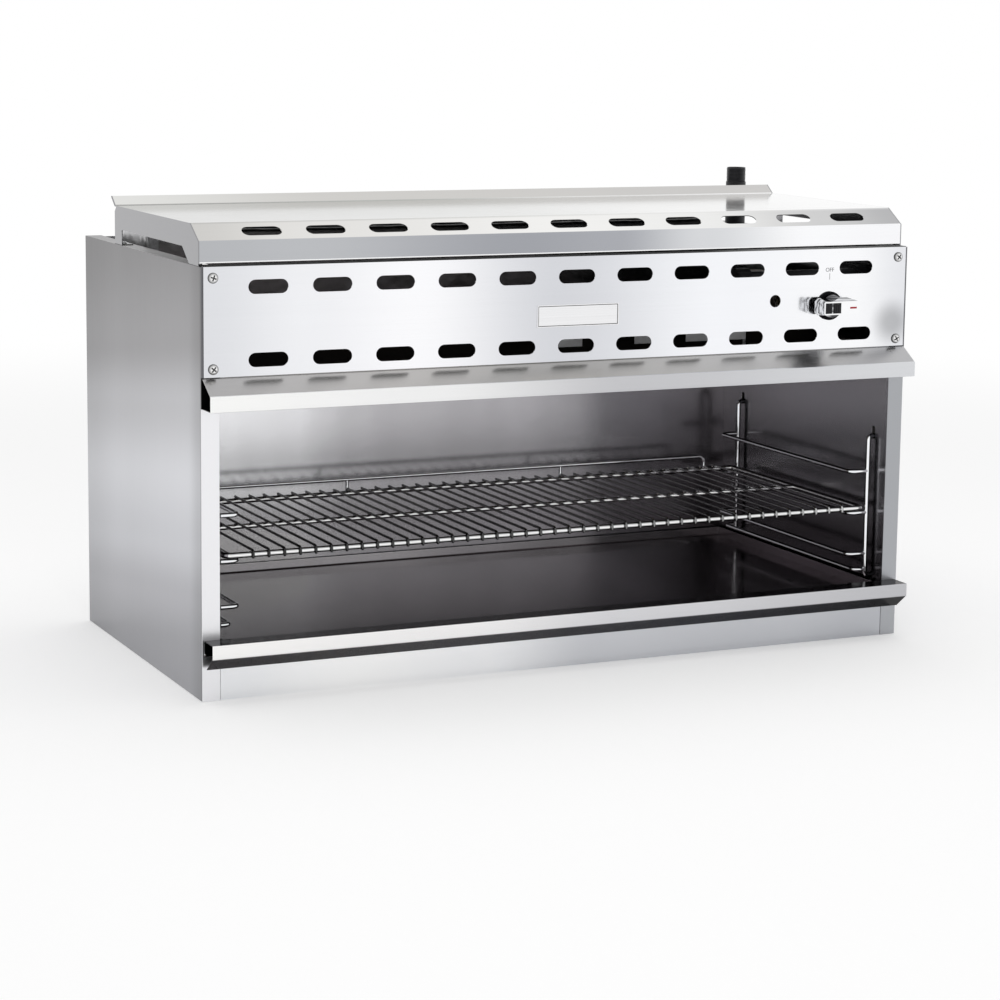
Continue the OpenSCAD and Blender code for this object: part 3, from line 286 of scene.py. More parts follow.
def moulded(name, colour, roughness, spark=700.0, gloss=0.3):
    """Moulded plastic or paint with a fine spark texture and a little dust."""
    f = Finish(name, 0.0, **{"Specular IOR Level": gloss})
    grain = f.noise(spark, 2.0)
    dust = f.noise(55.0, 4.0)
    f.feed(Base_Color=f.scaled(colour, 0.85 + 0.3 * dust),
           Roughness=roughness + 0.15 * (grain - 0.5) + 0.08 * dust)
    f.bumped(grain, 0.00002)
    return f.material


def fibrous(name, colour, metallic=0.0, roughness=0.92):
    """Mineral wool or fibre strip: long crossing fibres over shallow lumps."""
    f = Finish(name, metallic)
    fibres = f.noise(1.0, 4.0, f.stretched((90, 900, 500))) + f.noise(1.0, 4.0, f.stretched((900, 110, 500)))
    lumps = f.noise(28.0, 3.0)
    f.feed(Base_Color=f.scaled(colour, 0.62 + 0.26 * fibres + 0.25 * lumps),
           Roughness=roughness + 0.06 * lumps)
    f.bumped(fibres + 2.0 * lumps, 0.001)
    return f.material


def foil(name, colour):
    """Creased aluminium foil over wool: sharp facets, each with its own gloss."""
    f = Finish(name, 0.8)
    creases = f.node("ShaderNodeTexVoronoi", {"feature": "F1"}, {"Vector": f.place, "Scale": 90.0})
    facets = f.noise(50.0, 5.0)
    f.feed(Base_Color=f.scaled(f.tinted(colour), 0.75 + 0.4 * facets),
           Roughness=0.30 + 0.25 * creases * facets)
    f.bumped(creases + facets, 0.0005)
    return f.material


def tile(name, colour, pitch=0.0024):
    """Perforated burner tile: rows of flame ports, painted dark as the shade in their holes, in pale ceramic
    browned by use.
    """
    f = Finish(name, 0.0)
    across, deep = (abs((v / pitch).fraction() - 0.5) for v in (f.x, f.y))
    ports = 1.0 - ((across * across + deep * deep) ** 0.5).rise(0.24, 0.32)
    browned = f.noise(14.0, 4.0).rise(0.3, 0.7)
    grit = f.noise(900.0, 2.0)
    body = f.scaled(f.mixed(0.8 * browned, colour, (0.40, 0.28, 0.19)), 0.9 + 0.2 * grit)
    # Painted shade in the flame ports.
    f.feed(Base_Color=f.mixed(0.92 * ports, body, (0.04, 0.03, 0.025)), Roughness=0.82 + 0.12 * grit)
    f.bumped(0.15 * grit - ports, 0.0008)
    return f.material


# ---------------------------------------------------------------- tones by place

# The rack guides: where the uprights stand, and how far in each runner comes and at which height.
GUIDE_X, FRONT_Y, REAR_Y = 429.5, 30.0, 356.0
RUNNERS = ((404, 99.5), (404, 152.2), (404, 204.9), (414, 79))

# The sheets mirror a studio, and each holds a painted reflection of it in its colour, its own run of tones,
# mostly along the width.
# These are the folds at which one run gives way to another.
FLANGE = 1.4 * MM  # how far back a folded front flange reaches
PAN_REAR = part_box("spillage_pan")[1].y - POST_FACE - FLANGE
PAN_FLOOR = 57.5 * MM
PANEL_FOOT = 366 * MM
PANEL_FOLD = 488.4 * MM
PANEL_END = 454.15 * MM
TRIM_FOOT = 331.2 * MM
TRIM_LIP = -26.7 * MM
COVER_END = 454.3 * MM
COVER_LIP = 13.9 * MM
COVER_FLANGE = 326 * MM
GRIP_TOP = 69.2 * MM
GRIP_LIP = -28.2 * MM


def side_tones(f):
    """Side sheets with a painted reflection, brightest half-way up and dimmer at the front and back edges.
    Their folded posts hold a painted reflection that darkens to the right, and painted shade behind the
    deflector and the panel.
    """
    skin = f.along(f.z + 0.125 * f.depth, (0, (0.325, 0.325, 0.345)), (60, (0.33, 0.33, 0.35)),
                   (118, (0.405, 0.405, 0.43)), (178, (0.55, 0.555, 0.585)), (253, (0.645, 0.65, 0.68)),
                   (338, (0.475, 0.475, 0.495)), (408, (0.29, 0.285, 0.295)), (540, (0.20, 0.195, 0.20)))
    edge = f.along(f.depth, (0, 0.45), (7, 0.80), (50, 1.04), (300, 0.94), (445, 0.78))
    post = f.along(f.x, (-457, (0.88, 0.88, 0.90)), (457, (0.40, 0.41, 0.43)))
    # Painted shade on the posts behind the deflector and behind the panel.
    post = f.mixed(f.z > TRIM_FOOT, post, (0.03, 0.03, 0.03))
    post = f.mixed(f.z > PANEL_FOOT, post, (0.16, 0.16, 0.17))
    body = f.node("ShaderNodeVectorMath", {"operation": "MULTIPLY"}, {0: skin, 1: edge})
    return f.mixed(f.depth < FLANGE, body, post)


def panel_return(f):
    """The top fold of the control panel, painted dark as the shadow line under the cover."""
    return f.z > PANEL_FOLD


def panel_tones(f):
    """The control panel: a painted reflection along its width, a painted dark reflection in its lower right
    corner, and painted shade on its folds and end edges.
    """
    run = f.along(f.x, (-455, (0.74, 0.75, 0.78)), (-330, (0.87, 0.875, 0.90)), (-200, (0.96, 0.96, 0.98)),
                  (-20, (0.67, 0.68, 0.715)), (200, (0.91, 0.92, 0.95)), (380, (0.95, 0.955, 0.97)),
                  (457, (0.80, 0.81, 0.84)))
    # A painted dark reflection in the lower right corner.
    corner = f.node("ShaderNodeVectorMath", {"operation": "DISTANCE"},
                    {0: f.place, 1: at(437, 0, 396)}, "Value").rise(6 * MM, 36 * MM)
    # Painted shade on the top fold and on the end edges.
    shade = f.along(f.x, (-455, 0.006), (150, 0.015), (300, 0.20), (455, 0.08))
    edges = panel_return(f).greatest((abs(f.x) > PANEL_END) * (f.depth > -0.8 * MM))
    return f.mixed(edges, f.scaled(run, 0.6 + 0.4 * corner), shade)


def cover_tones(f):
    """The cover: its top, bevel, front lip, rear flange and end plates, each with a painted reflection, and a
    painted highlight band over a painted shadow line at the foot of the lip.
    """
    top = f.along(f.x, (-456, (0.42, 0.42, 0.41)), (-100, (0.50, 0.51, 0.49)), (200, (0.78, 0.78, 0.77)),
                  (456, (0.90, 0.90, 0.90)))
    bevel = f.along(f.x, (-456, (0.62, 0.61, 0.59)), (-330, (0.76, 0.75, 0.73)), (0, (0.88, 0.875, 0.86)),
                    (180, (0.84, 0.84, 0.83)), (350, (0.62, 0.62, 0.62)), (456, (0.46, 0.46, 0.47)))
    lip = f.along(f.x, (-456, (0.47, 0.48, 0.50)), (-330, (0.50, 0.51, 0.53)), (-60, (0.36, 0.37, 0.40)),
                  (60, (0.40, 0.41, 0.44)), (180, (0.68, 0.69, 0.71)), (330, (0.95, 0.955, 0.97)),
                  (456, (0.93, 0.93, 0.95)))
    rear = f.along(f.x, (-456, (0.76, 0.76, 0.74)), (-150, (0.62, 0.61, 0.59)), (456, (0.60, 0.59, 0.58)))
    # A painted highlight band, and under it a painted shadow line.
    lip = f.mixed(f.z < 492.4 * MM, lip, (0.95, 0.95, 0.96))
    lip = f.mixed(f.z < 488.6 * MM, lip, (0.03, 0.03, 0.035))
    face = f.mixed(f.depth.rise(38 * MM, 45 * MM), bevel, top)
    face = f.mixed(f.depth < COVER_LIP, face, lip)
    face = f.mixed(f.depth > COVER_FLANGE, face, rear)
    return f.mixed(abs(f.x) > COVER_END, face, (0.31, 0.31, 0.32))


def trim_tones(f):
    """The deflector: painted reflections along its slant and its lip, and painted shade, black, in the hollow
    behind them.
    """
    slant = f.along(f.x, (-456, (0.52, 0.51, 0.50)), (0, (0.50, 0.49, 0.47)), (300, (0.49, 0.485, 0.48)),
                    (456, (0.46, 0.46, 0.47)))
    lip = f.along(f.x, (-456, (0.94, 0.94, 0.93)), (-200, (0.87, 0.87, 0.87)), (60, (0.56, 0.56, 0.58)),
                  (456, (0.68, 0.69, 0.71)))
    face = f.mixed(f.depth < TRIM_LIP, slant, lip)
    # Painted shade, black, in the hollow behind the slant and the lip.
    shaded_hollow = (f.depth > -27.4 * MM) * (f.z > TRIM_FOOT) * (f.z < 365 * MM + 0.625 * f.depth)
    return f.mixed(shaded_hollow, face, (0.015, 0.014, 0.014))


def grip_tones(f):
    """The pan's grip: a painted reflection along its bright lip, painted shade on the dark slant under it, a
    painted dark reflection on its top, and painted shade, black, inside.
    """
    lip = f.along(f.x, (-455, (0.96, 0.95, 0.94)), (-150, (0.90, 0.89, 0.89)), (60, (0.68, 0.68, 0.70)),
                  (455, (0.52, 0.52, 0.54)))
    under = f.along(f.x, (-455, (0.060, 0.056, 0.057)), (-150, (0.080, 0.077, 0.081)),
                    (0, (0.094, 0.091, 0.096)), (150, (0.078, 0.078, 0.086)), (300, (0.052, 0.051, 0.057)),
                    (455, (0.030, 0.029, 0.030)))
    face = f.mixed(f.z.rise(53.0 * MM, 54.6 * MM), under, lip)
    behind = f.depth > GRIP_LIP
    face = f.mixed((f.z > GRIP_TOP) * behind, face, (0.06, 0.055, 0.06))
    return f.mixed((f.z < GRIP_TOP) * behind * (f.z > 55 * MM), face, (0.01, 0.01, 0.01))


def kick_tones(f):
    """The plinth under the pan, with a painted reflection that darkens to the right."""
    return f.along(f.x, (-437, (0.86, 0.87, 0.89)), (-280, (1.0, 1.0, 1.0)), (-120, (0.92, 0.925, 0.94)),
                   (40, (0.62, 0.63, 0.66)), (280, (0.57, 0.58, 0.61)), (437, (0.48, 0.49, 0.52)))


def back_wall_tones(f):
    """The cavity's back wall: a painted reflection that darkens to the right and pales at the foot, under
    upright bands of heat marks.
    """
    run = f.along(f.x, (-436, (0.97, 0.97, 0.98)), (-260, (0.84, 0.84, 0.86)), (-60, (0.50, 0.49, 0.51)),
                  (160, (0.40, 0.39, 0.41)), (290, (0.30, 0.29, 0.31)), (436, (0.18, 0.17, 0.18)))
    bands = f.noise(1.0, 1.0, f.stretched((13, 0.1, 0.4)))
    low = 1.0 - f.z.rise(70 * MM, 150 * MM)
    return f.scaled(run, 0.8 + 0.4 * bands + 0.35 * low)


def wall_tones(f):
    """The cavity's side walls, with painted light and shade along their height, darker at their foot."""
    return f.along(f.z, (2, (0.10, 0.095, 0.10)), (100, (0.14, 0.13, 0.14)), (190, (0.42, 0.41, 0.43)),
                   (270, (0.50, 0.49, 0.51)), (352, (0.34, 0.33, 0.34)))


def pan_tones(f):
    """The pan: a floor with stains in bands, under a painted dark reflection that is darker to the left and
    the back, and a rear wall with a painted reflection that pales to the left.
    """
    run = f.along(f.x, (-430, (0.065, 0.056, 0.061)), (0, (0.16, 0.142, 0.152)), (430, (0.32, 0.285, 0.30)))
    bands = f.noise(1.0, 2.0, f.stretched((9, 1.5, 1)))
    floor = f.scaled(run, (0.75 + 0.6 * bands) * (1.0 - 0.4 * f.depth.rise(180 * MM, 400 * MM)))
    rear = f.along(f.x, (-430, (0.84, 0.82, 0.84)), (-80, (0.76, 0.74, 0.76)), (60, (0.52, 0.50, 0.52)),
                   (180, (0.34, 0.33, 0.34)), (430, (0.34, 0.33, 0.34)))
    return f.mixed((f.depth > PAN_REAR) * (f.z > PAN_FLOOR), floor, rear)


def rail_tones(f):
    """Chrome rails: a painted highlight along the middle of their height, and a painted dark reflection above
    and below it.
    """
    return f.along(f.z, (155.2, 0.04), (156.9, 0.10), (158.2, 0.72), (159.3, 0.98), (160.2, 0.60),
                   (161.3, 0.12), (162.5, 0.05))


def guide_tones(f):
    """Chrome guides: a painted highlight along the middle of each runner's height, and one painted highlight
    stripe down each upright, with a painted dark reflection elsewhere.
    """
    offs = [abs(f.z - z * MM) for _, z in RUNNERS]
    off = offs[0]
    for other in offs[1:]:
        off = off.least(other)
    runner = f.mixed(off.rise(0.7 * MM, 2.0 * MM), (0.90, 0.91, 0.93), (0.05, 0.05, 0.055))
    middle = (FRONT_Y + REAR_Y) / 2 * MM
    side = f.depth - FRONT_Y * MM - (REAR_Y - FRONT_Y) * MM * (f.depth > middle)
    out = f.x - GUIDE_X * MM * f.x.sign()
    across = 0.9 * out - 0.43 * side
    # A painted highlight stripe down each upright.
    highlight_stripe = across.rise(-2.7 * MM, -2.2 * MM) * (1.0 - across.rise(0.8 * MM, 1.4 * MM))
    upright = f.mixed(highlight_stripe, (0.05, 0.05, 0.055), (0.94, 0.95, 0.97))
    return f.mixed((abs(f.x) > 425.5 * MM) * (abs(side) < 3.3 * MM), runner, upright)


def screw_tones(f):
    """Bright crowns, with painted shade in the recess and round the seat."""
    return f.along(f.depth, (-4.3, 0.92), (-3.9, 0.85), (-3.3, 0.45), (-2.4, 0.08), (-1.0, 0.03))


def knob_tones(f):
    """The knob's bar: a bright face, and streaks of the dark room in its sides."""
    streaks = f.noise(1.0, 2.0, f.stretched((30, 260, 120))).rise(0.40, 0.62)
    sides = f.mixed(streaks, (0.07, 0.07, 0.075), (0.75, 0.76, 0.78))
    return f.mixed(f.depth < -30.2 * MM, sides, (0.95, 0.955, 0.965))


def plenum_tones(f):
    """The plenum is black with painted shade behind the lower slots, and plain steel elsewhere."""
    return f.mixed(f.depth < 100 * MM, (0.20, 0.19, 0.18), (0.025, 0.022, 0.02))


def flue_tones(f):
    """The flue is dark grey, and black at its rim."""
    return f.mixed(f.z.rise(494 * MM, 500 * MM), (0.27, 0.26, 0.27), (0.03, 0.03, 0.03))


def foil_tones(f):
    """A painted dark reflection where the flue faces the burner, darkening to the right, black along its top,
    and painted light on its left end and its back.
    """
    front = f.along(f.x, (-420, (0.42, 0.39, 0.40)), (60, (0.26, 0.24, 0.25)), (200, (0.04, 0.04, 0.04)))
    upper = f.along(f.x, (-420, (0.40, 0.39, 0.39)), (-120, (0.12, 0.115, 0.115)), (60, (0.05, 0.05, 0.05)))
    front = f.mixed(f.z.rise(470 * MM, 490 * MM), front, upper)
    front = f.mixed(f.z.rise(498 * MM, 501 * MM), front, (0.03, 0.03, 0.03))
    end = (f.x < -403 * MM).greatest(f.depth > 331.5 * MM)
    return f.mixed(end, front, (0.62, 0.62, 0.63))


def wire_tones(f):
    """The cross wires carry a painted dark reflection, darkest on the left."""
    return f.along(f.x, (-420, 0.05), (-100, 0.08), (200, 0.28), (420, 0.55))


FINISHES = {
    "stainless_satin": sheet("satin stainless sheet", (0.60, 0.60, 0.61), 0.28),
    "liner_steel": sheet("aluminised liner sheet", (0.27, 0.26, 0.27), 0.26, ALONG_Z),
    "pan_steel": sheet("dull pan sheet", pan_tones, 0.13, ALONG_Y, smudge=0.08, graze=0.7),
    "burner_steel": heated("heat-darkened steel", (0.20, 0.195, 0.19), (0.22, 0.17, 0.13), 0.45),
    "chrome": plate("bright chrome plate", (0.80, 0.81, 0.83), 0.07),
    "zinc_plate": plate("bright zinc plate", SLOT_COLOUR["zinc_plate"], 0.26, 0.12),
    "black_pipe": cast("black malleable iron", (0.022, 0.022, 0.025), 0.42, 0.4),
    "regulator_grey": cast("die-cast grey", SLOT_COLOUR["regulator_grey"], 0.42, 0.7, 420.0, 0.00004, 0.08),
    "brass": machined("machined brass", SLOT_COLOUR["brass"], 0.28),
    "black_plastic": moulded("matt black plastic", (0.008, 0.008, 0.010), 0.42),
    "index_red": moulded("red index paint", (0.45, 0.02, 0.03), 0.3, 300.0),
    "tile_ceramic": tile("perforated ceramic", (0.55, 0.47, 0.38)),
    "wool": fibrous("mineral wool", (0.085, 0.08, 0.075)),
    "foil_wool": foil("foil-faced wool", foil_tones),
    "gasket_fibre": fibrous("ceramic fibre strip", (0.70, 0.69, 0.66)),
    "aluminium_tube": plate("drawn aluminium tube", SLOT_COLOUR["aluminium_tube"], 0.3, 0.1),
}
# Finishes for single nodes, which go before those of their material slots.
side_finish = sheet("satin side sheet", side_tones, 0.30, ALONG_Z, 0.025, 0.02, 0.03, 0.000002)
wall_finish = sheet("side wall sheet", wall_tones, 0.22, ALONG_Z, 0.02, 0.02, 0.01, 0.0000005)
guide_finish = plate("guide chrome", guide_tones, 0.07)
# The valves' brass is painted dark as the shade behind the slots; machined() adds its patches of tarnish.
valve_brass = machined("tarnished brass", (0.16, 0.12, 0.065), 0.34)
NODE_FINISH = {
    "side_panel_left": side_finish,
    "side_panel_right": side_finish,
    "front_panel": sheet("bright control panel", panel_tones, 0.14, streak=0.025, painted_shade=panel_return),
    "top_cover": sheet("bright cover sheet", cover_tones, 0.12, streak=0.03),
    "hood_trim": sheet("deflector sheet", trim_tones, 0.24),
    "pan_handle": sheet("grip sheet", grip_tones, 0.16, cloud=0.03, graze=0.6),
    "kick_panel": sheet("kick sheet", kick_tones, 0.24),
    "liner_back": sheet("back wall sheet", back_wall_tones, 0.22, ALONG_Z, 0.03, 0.03, 0.06, 0.000002),
    "liner_left": wall_finish,
    "liner_right": wall_finish,
    # Chrome with a painted dark reflection on the cross wires.
    "rack_wires": plate("heat-dulled chrome", wire_tones, 0.12),
    "rack_frame": plate("rail chrome", rail_tones, 0.07),
    "rack_guide_left": guide_finish,
    "rack_guide_right": guide_finish,
    "gas_valve": valve_brass,
    "pilot_valve": valve_brass,
    "panel_screws": plate("screw chrome", screw_tones, 0.10),
    "knob": plate("knob chrome", knob_tones, 0.06),
    "nameplate": sheet("brushed plate", (0.86, 0.86, 0.87), 0.2, streak=0.12),
    "knob_bezel": moulded("dull black plastic", (0.003, 0.003, 0.004), 0.6, gloss=0.08),
    "flue_duct": sheet("flue sheet", flue_tones, 0.3, ALONG_Z),
    "burner_plenum": sheet("sooted plenum sheet", plenum_tones, 0.5, cloud=0.3),
    "air_baffles": cast("galvanised baffle sheet", (0.80, 0.80, 0.81), 0.5, 0.15, 60.0, 0.00002, 0.15),
}


def finish_of(node):
    return NODE_FINISH.get(node) or FINISHES[SLOT_OF[node]]


# ---------------------------------------------------------------- mesh helpers


def made(name, mesh):
    piece = bpy.data.objects.new(name, mesh)
    scene.collection.objects.link(piece)
    return piece


def dressed(piece, node, finish=None, instead=()):
    """Gives a piece the finish and body of a CAD node, and hides the nodes that it stands for."""
    piece.data.materials.clear()
    piece.data.materials.append(finish or finish_of(node))
    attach(piece, BODY_OF[node])
    if instead:
        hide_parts(*instead)
    return piece


def settled(piece):
    """Turns a piece's modifiers into plain mesh."""
    bpy.context.view_layer.update()
    graph = bpy.context.evaluated_depsgraph_get()
    mesh = bpy.data.meshes.new_from_object(piece.evaluated_get(graph), depsgraph=graph)
    mesh.name = piece.name
    piece.modifiers.clear()
    piece.data = mesh
    return piece


def cad_copy(node):
    """The merged shape of a CAD node."""
    shape = bmesh.new()
    shape.from_mesh(nodes[node].data)
    bmesh.ops.remove_doubles(shape, verts=shape.verts, dist=1e-6)
    bmesh.ops.dissolve_limit(shape, angle_limit=math.radians(0.5), verts=shape.verts, edges=shape.edges)
    return shape


def to_mesh(shape, name):
    mesh = bpy.data.meshes.new(name)
    shape.to_mesh(mesh)
    shape.free()
    return mesh


def softened(piece, edge, segments=2):
    """Rounds a piece's edges by edge millimetres, and keeps its flat faces looking flat."""
    piece.data.shade_smooth()
    bevel = piece.modifiers.new("edges", "BEVEL")
    bevel.width = edge * MM
    bevel.segments = segments
    bevel.limit_method = "ANGLE"
    bevel.angle_limit = math.radians(30)
    normals = piece.modifiers.new("normals", "WEIGHTED_NORMAL")
    normals.weight = 100
    return settled(piece)


def eased(node, name, edge, segments=2):
    """A copy of a CAD node with rounded edges, which stands for the node."""
    piece = softened(made(name, to_mesh(cad_copy(node), name)), edge, segments)
    return dressed(piece, node, instead=[node])


def solids(node):
    """The lowest and highest corners of each separate solid of a CAD node, in a fixed order."""
    shape = cad_copy(node)
    left, boxes = set(shape.verts), []
    while left:
        todo, points = [left.pop()], []
        while todo:
            vert = todo.pop()
            points.append(vert.co.copy())
            fresh = {edge.other_vert(vert) for edge in vert.link_edges} & left
            left -= fresh
            todo += fresh
        boxes.append([Vector([pick(point[i] for point in points) for i in range(3)]) for pick in (min, max)])
    shape.free()
    return sorted(boxes, key=lambda box: tuple(box[0]))


def block(low, high):
    """A box between two corners in millimetres."""
    shape = bmesh.new()
    low, high = at(*low), at(*high)
    bmesh.ops.create_cube(shape, size=1.0, matrix=Matrix.LocRotScale((low + high) / 2, None, high - low))
    return to_mesh(shape, "block")


def ring(radius, height, sides=32):
    """Points round the Z axis, in millimetres; the radius may be a function of the turn, from 0 to 1."""
    turns = [i / sides for i in range(sides)]
    radii = [radius(t) if callable(radius) else radius for t in turns]
    return [Vector((r * MM * math.cos(2 * math.pi * t), r * MM * math.sin(2 * math.pi * t), height * MM))
            for r, t in zip(radii, turns)]


def skinned(name, loops, closed=False):
    """A closed surface through rings of points, capped at its two ends or joined end to end."""
    shape = bmesh.new()
    rings = [[shape.verts.new(point) for point in loop] for loop in loops]
    pairs = list(zip(rings, rings[1:])) + ([(rings[-1], rings[0])] if closed else [])
    for a, b in pairs:
        for i in range(len(a)):
            j = (i + 1) % len(a)
            shape.faces.new((a[i], a[j], b[j], b[i]))
    if not closed:
        shape.faces.new(rings[0])
        shape.faces.new(rings[-1])
    bmesh.ops.recalc_face_normals(shape, faces=shape.faces)
    return to_mesh(shape, name)


def rounded(points, radius, steps=7, closed=False):
    """A line through points with its corners turned into arcs."""
    line = []
    count = len(points)
    for i, corner in enumerate(points):
        if not closed and i in (0, count - 1):
            line.append(corner)
            continue
        back = (points[i - 1] - corner).normalized()
        ahead = (points[(i + 1) % count] - corner).normalized()
        half = back.angle(ahead) / 2
        centre = corner + (back + ahead).normalized() * radius / math.sin(half)
        start = corner + back * radius / math.tan(half) - centre
        end = corner + ahead * radius / math.tan(half) - centre
        for k in range(steps + 1):
            line.append(centre + start.slerp(end, k / steps).normalized() * radius)
    return line


def line_mesh(name, points, closed=False):
    mesh = bpy.data.meshes.new(name)
    edges = [(i, i + 1) for i in range(len(points) - 1)] + ([(len(points) - 1, 0)] if closed else [])
    mesh.from_pydata(points, edges, [])
    return mesh


def joined(name, meshes):
    """One mesh out of several, with every closed shell facing outwards."""
    shape = bmesh.new()
    for mesh in meshes:
        shape.from_mesh(mesh)
        bpy.data.meshes.remove(mesh)
    bmesh.ops.remove_doubles(shape, verts=shape.verts, dist=1e-7)
    bmesh.ops.recalc_face_normals(shape, faces=shape.faces)
    return to_mesh(shape, name)


# ---------------------------------------------------------------- geometry recipes


class Recipe(Graph):
    """A Geometry Nodes tree with named inputs."""

    def __init__(self, name, **inputs):
        super().__init__(bpy.data.node_groups.new(name, "GeometryNodeTree"))
        face = self.tree.interface
        face.new_socket("Geometry", in_out="INPUT", socket_type="NodeSocketGeometry")
        face.new_socket("Geometry", in_out="OUTPUT", socket_type="NodeSocketGeometry")
        for label, kind in {**inputs, "Finish": "Material"}.items():
            face.new_socket(label, in_out="INPUT", socket_type="NodeSocket" + kind)
        self.start = self.tree.nodes.new("NodeGroupInput")

    def given(self, label):
        return Reading(self, self.start.outputs[label])

    def ends(self, geometry):
        whole = self.node("GeometryNodeRealizeInstances", sockets={"Geometry": geometry})
        whole = self.node("GeometryNodeSetMaterial",
                          sockets={"Geometry": whole, "Material": self.given("Finish")})
        self.node("NodeGroupOutput", sockets={"Geometry": whole})

    def make(self, name, base, **values):
        """Runs the recipe on a base mesh and returns the plain mesh that it makes."""
        piece = made(name, base)
        modifier = piece.modifiers.new("recipe", "NODES")
        modifier.node_group = self.tree
        sockets = {item.name: item.identifier for item in self.tree.interface.items_tree
                   if item.in_out == "INPUT"}
        for label, value in values.items():
            modifier[sockets[label]] = value
        mesh = settled(piece).data
        bpy.data.objects.remove(piece)
        return mesh


def wire_recipe():
    """Round wire along a line, repeated at equal steps."""
    r = Recipe("wire", Diameter="Float", Sides="Int", Count="Int", Step="Vector")
    path = r.node("GeometryNodeMeshToCurve", sockets={"Mesh": r.given("Geometry")})
    ring = r.node("GeometryNodeCurvePrimitiveCircle", sockets={"Resolution": r.given("Sides"),
                                                               "Radius": 0.5 * r.given("Diameter")})
    tube = r.node("GeometryNodeCurveToMesh",
                  sockets={"Curve": path, "Profile Curve": ring, "Fill Caps": True})
    row = r.node("GeometryNodeMeshLine", sockets={"Count": r.given("Count"), "Offset": r.given("Step")})
    r.ends(r.node("GeometryNodeInstanceOnPoints", sockets={"Points": row, "Instance": tube}))
    return r


def fixing_recipe():
    """One modelled part at each point, facing one way, each turned round its own axis by chance."""
    r = Recipe("fixings", Part="Object", Facing="Vector", Spin="Float", Seed="Int")
    part = r.node("GeometryNodeObjectInfo", sockets={"Object": r.given("Part")}, output="Geometry")
    row = r.node("GeometryNodeInstanceOnPoints", sockets={"Points": r.given("Geometry"), "Instance": part,
                                                         "Rotation": r.given("Facing")})
    chance = r.node("FunctionNodeRandomValue",
                    sockets={2: 0.0, 3: r.given("Spin"), "Seed": r.given("Seed")}, output=1)
    turn = r.node("ShaderNodeCombineXYZ", sockets={"Z": chance})
    r.ends(r.node("GeometryNodeRotateInstances", sockets={"Instances": row, "Rotation": turn}))
    return r


WIRE = wire_recipe()
FIXINGS = fixing_recipe()


def wire(points, diameter, sides=14, count=1, step=(0, 0, 0), closed=False):
    """Wire through points, its diameter and the step between its repeats in millimetres."""
    return WIRE.make("wire", line_mesh("line", points, closed), Diameter=diameter * MM, Sides=sides,
                     Count=count, Step=[v * MM for v in step], Finish=FINISHES["chrome"])


def smoothed(mesh, limit=50):
    """Smooth shading, except over edges sharper than limit degrees."""
    mesh.shade_smooth()
    mesh.set_sharp_from_angle(angle=math.radians(limit))
    return mesh


def wirework(name, node, meshes):
    """A piece of joined wires that stands for a CAD node."""
    return dressed(made(name, smoothed(joined(name, meshes))), node, instead=[node])


def repeated(name, form, places, facing=(0, 0, 1), spin=0.0, seed=1):
    """A mesh with a copy of the form at each place, the form's top turned to face one way.

    dressed() gives it its own finish.
    """
    part = made("form", form)
    mesh = bpy.data.meshes.new("places")
    mesh.from_pydata(places, [], [])
    turn = Vector(facing).to_track_quat("Z", "Y").to_euler()
    mesh = FIXINGS.make(name, mesh, Part=part, Facing=list(turn), Spin=spin, Seed=seed,
                        Finish=FINISHES["zinc_plate"])
    bpy.data.objects.remove(part)
    mesh.name = name
    return smoothed(mesh, 35)


def screw_form(head, height, shank, length):
    """A pan-head screw with a cross recess. Its seat is at the origin, and its head is up."""
    profile = [(shank / 2 - 0.5, -length), (shank / 2, -length + 0.6), (shank / 2, 0), (head / 2, 0)]
    profile += [(head / 2 * math.cos(a), height * (0.2 + 0.8 * math.sin(a)))
                for a in (math.radians(d) for d in (5, 22, 40, 58, 76))]
    screw = made("screw", skinned("screw", [ring(r, h, 28) for r, h in profile]))
    long, wide, deep = 0.29 * head * MM, 0.07 * head * MM, 0.65 * height * MM
    for across, along in ((long, wide), (wide, long)):
        slot = bmesh.new()
        bmesh.ops.create_cube(slot, size=2.0, matrix=Matrix.LocRotScale(
            (0, 0, height * MM), None, (across, along, deep)))
        cut = screw.modifiers.new("recess", "BOOLEAN")
        cut.operation = "DIFFERENCE"
        cut.solver = "EXACT"
        cut.object = made("slot", to_mesh(slot, "slot"))
    cutters = [cut.object for cut in screw.modifiers]
    mesh = settled(screw).data
    for piece in (screw, *cutters):
        bpy.data.objects.remove(piece)
    return mesh


def screws(name, node, facing, head, height, shank, length, seed):
    """Modelled screws in the place of a CAD node's, each turned by chance."""
    out = Vector(facing)
    seats = [(low + high) / 2 + out * (abs((high - low).dot(out)) / 2 - height * MM)
             for low, high in solids(node)]
    mesh = repeated(name, screw_form(head, height, shank, length), seats, facing, 2 * math.pi, seed)
    return dressed(made(name, mesh), node, instead=[node])


# ---------------------------------------------------------------- sheets and blocks with eased edges

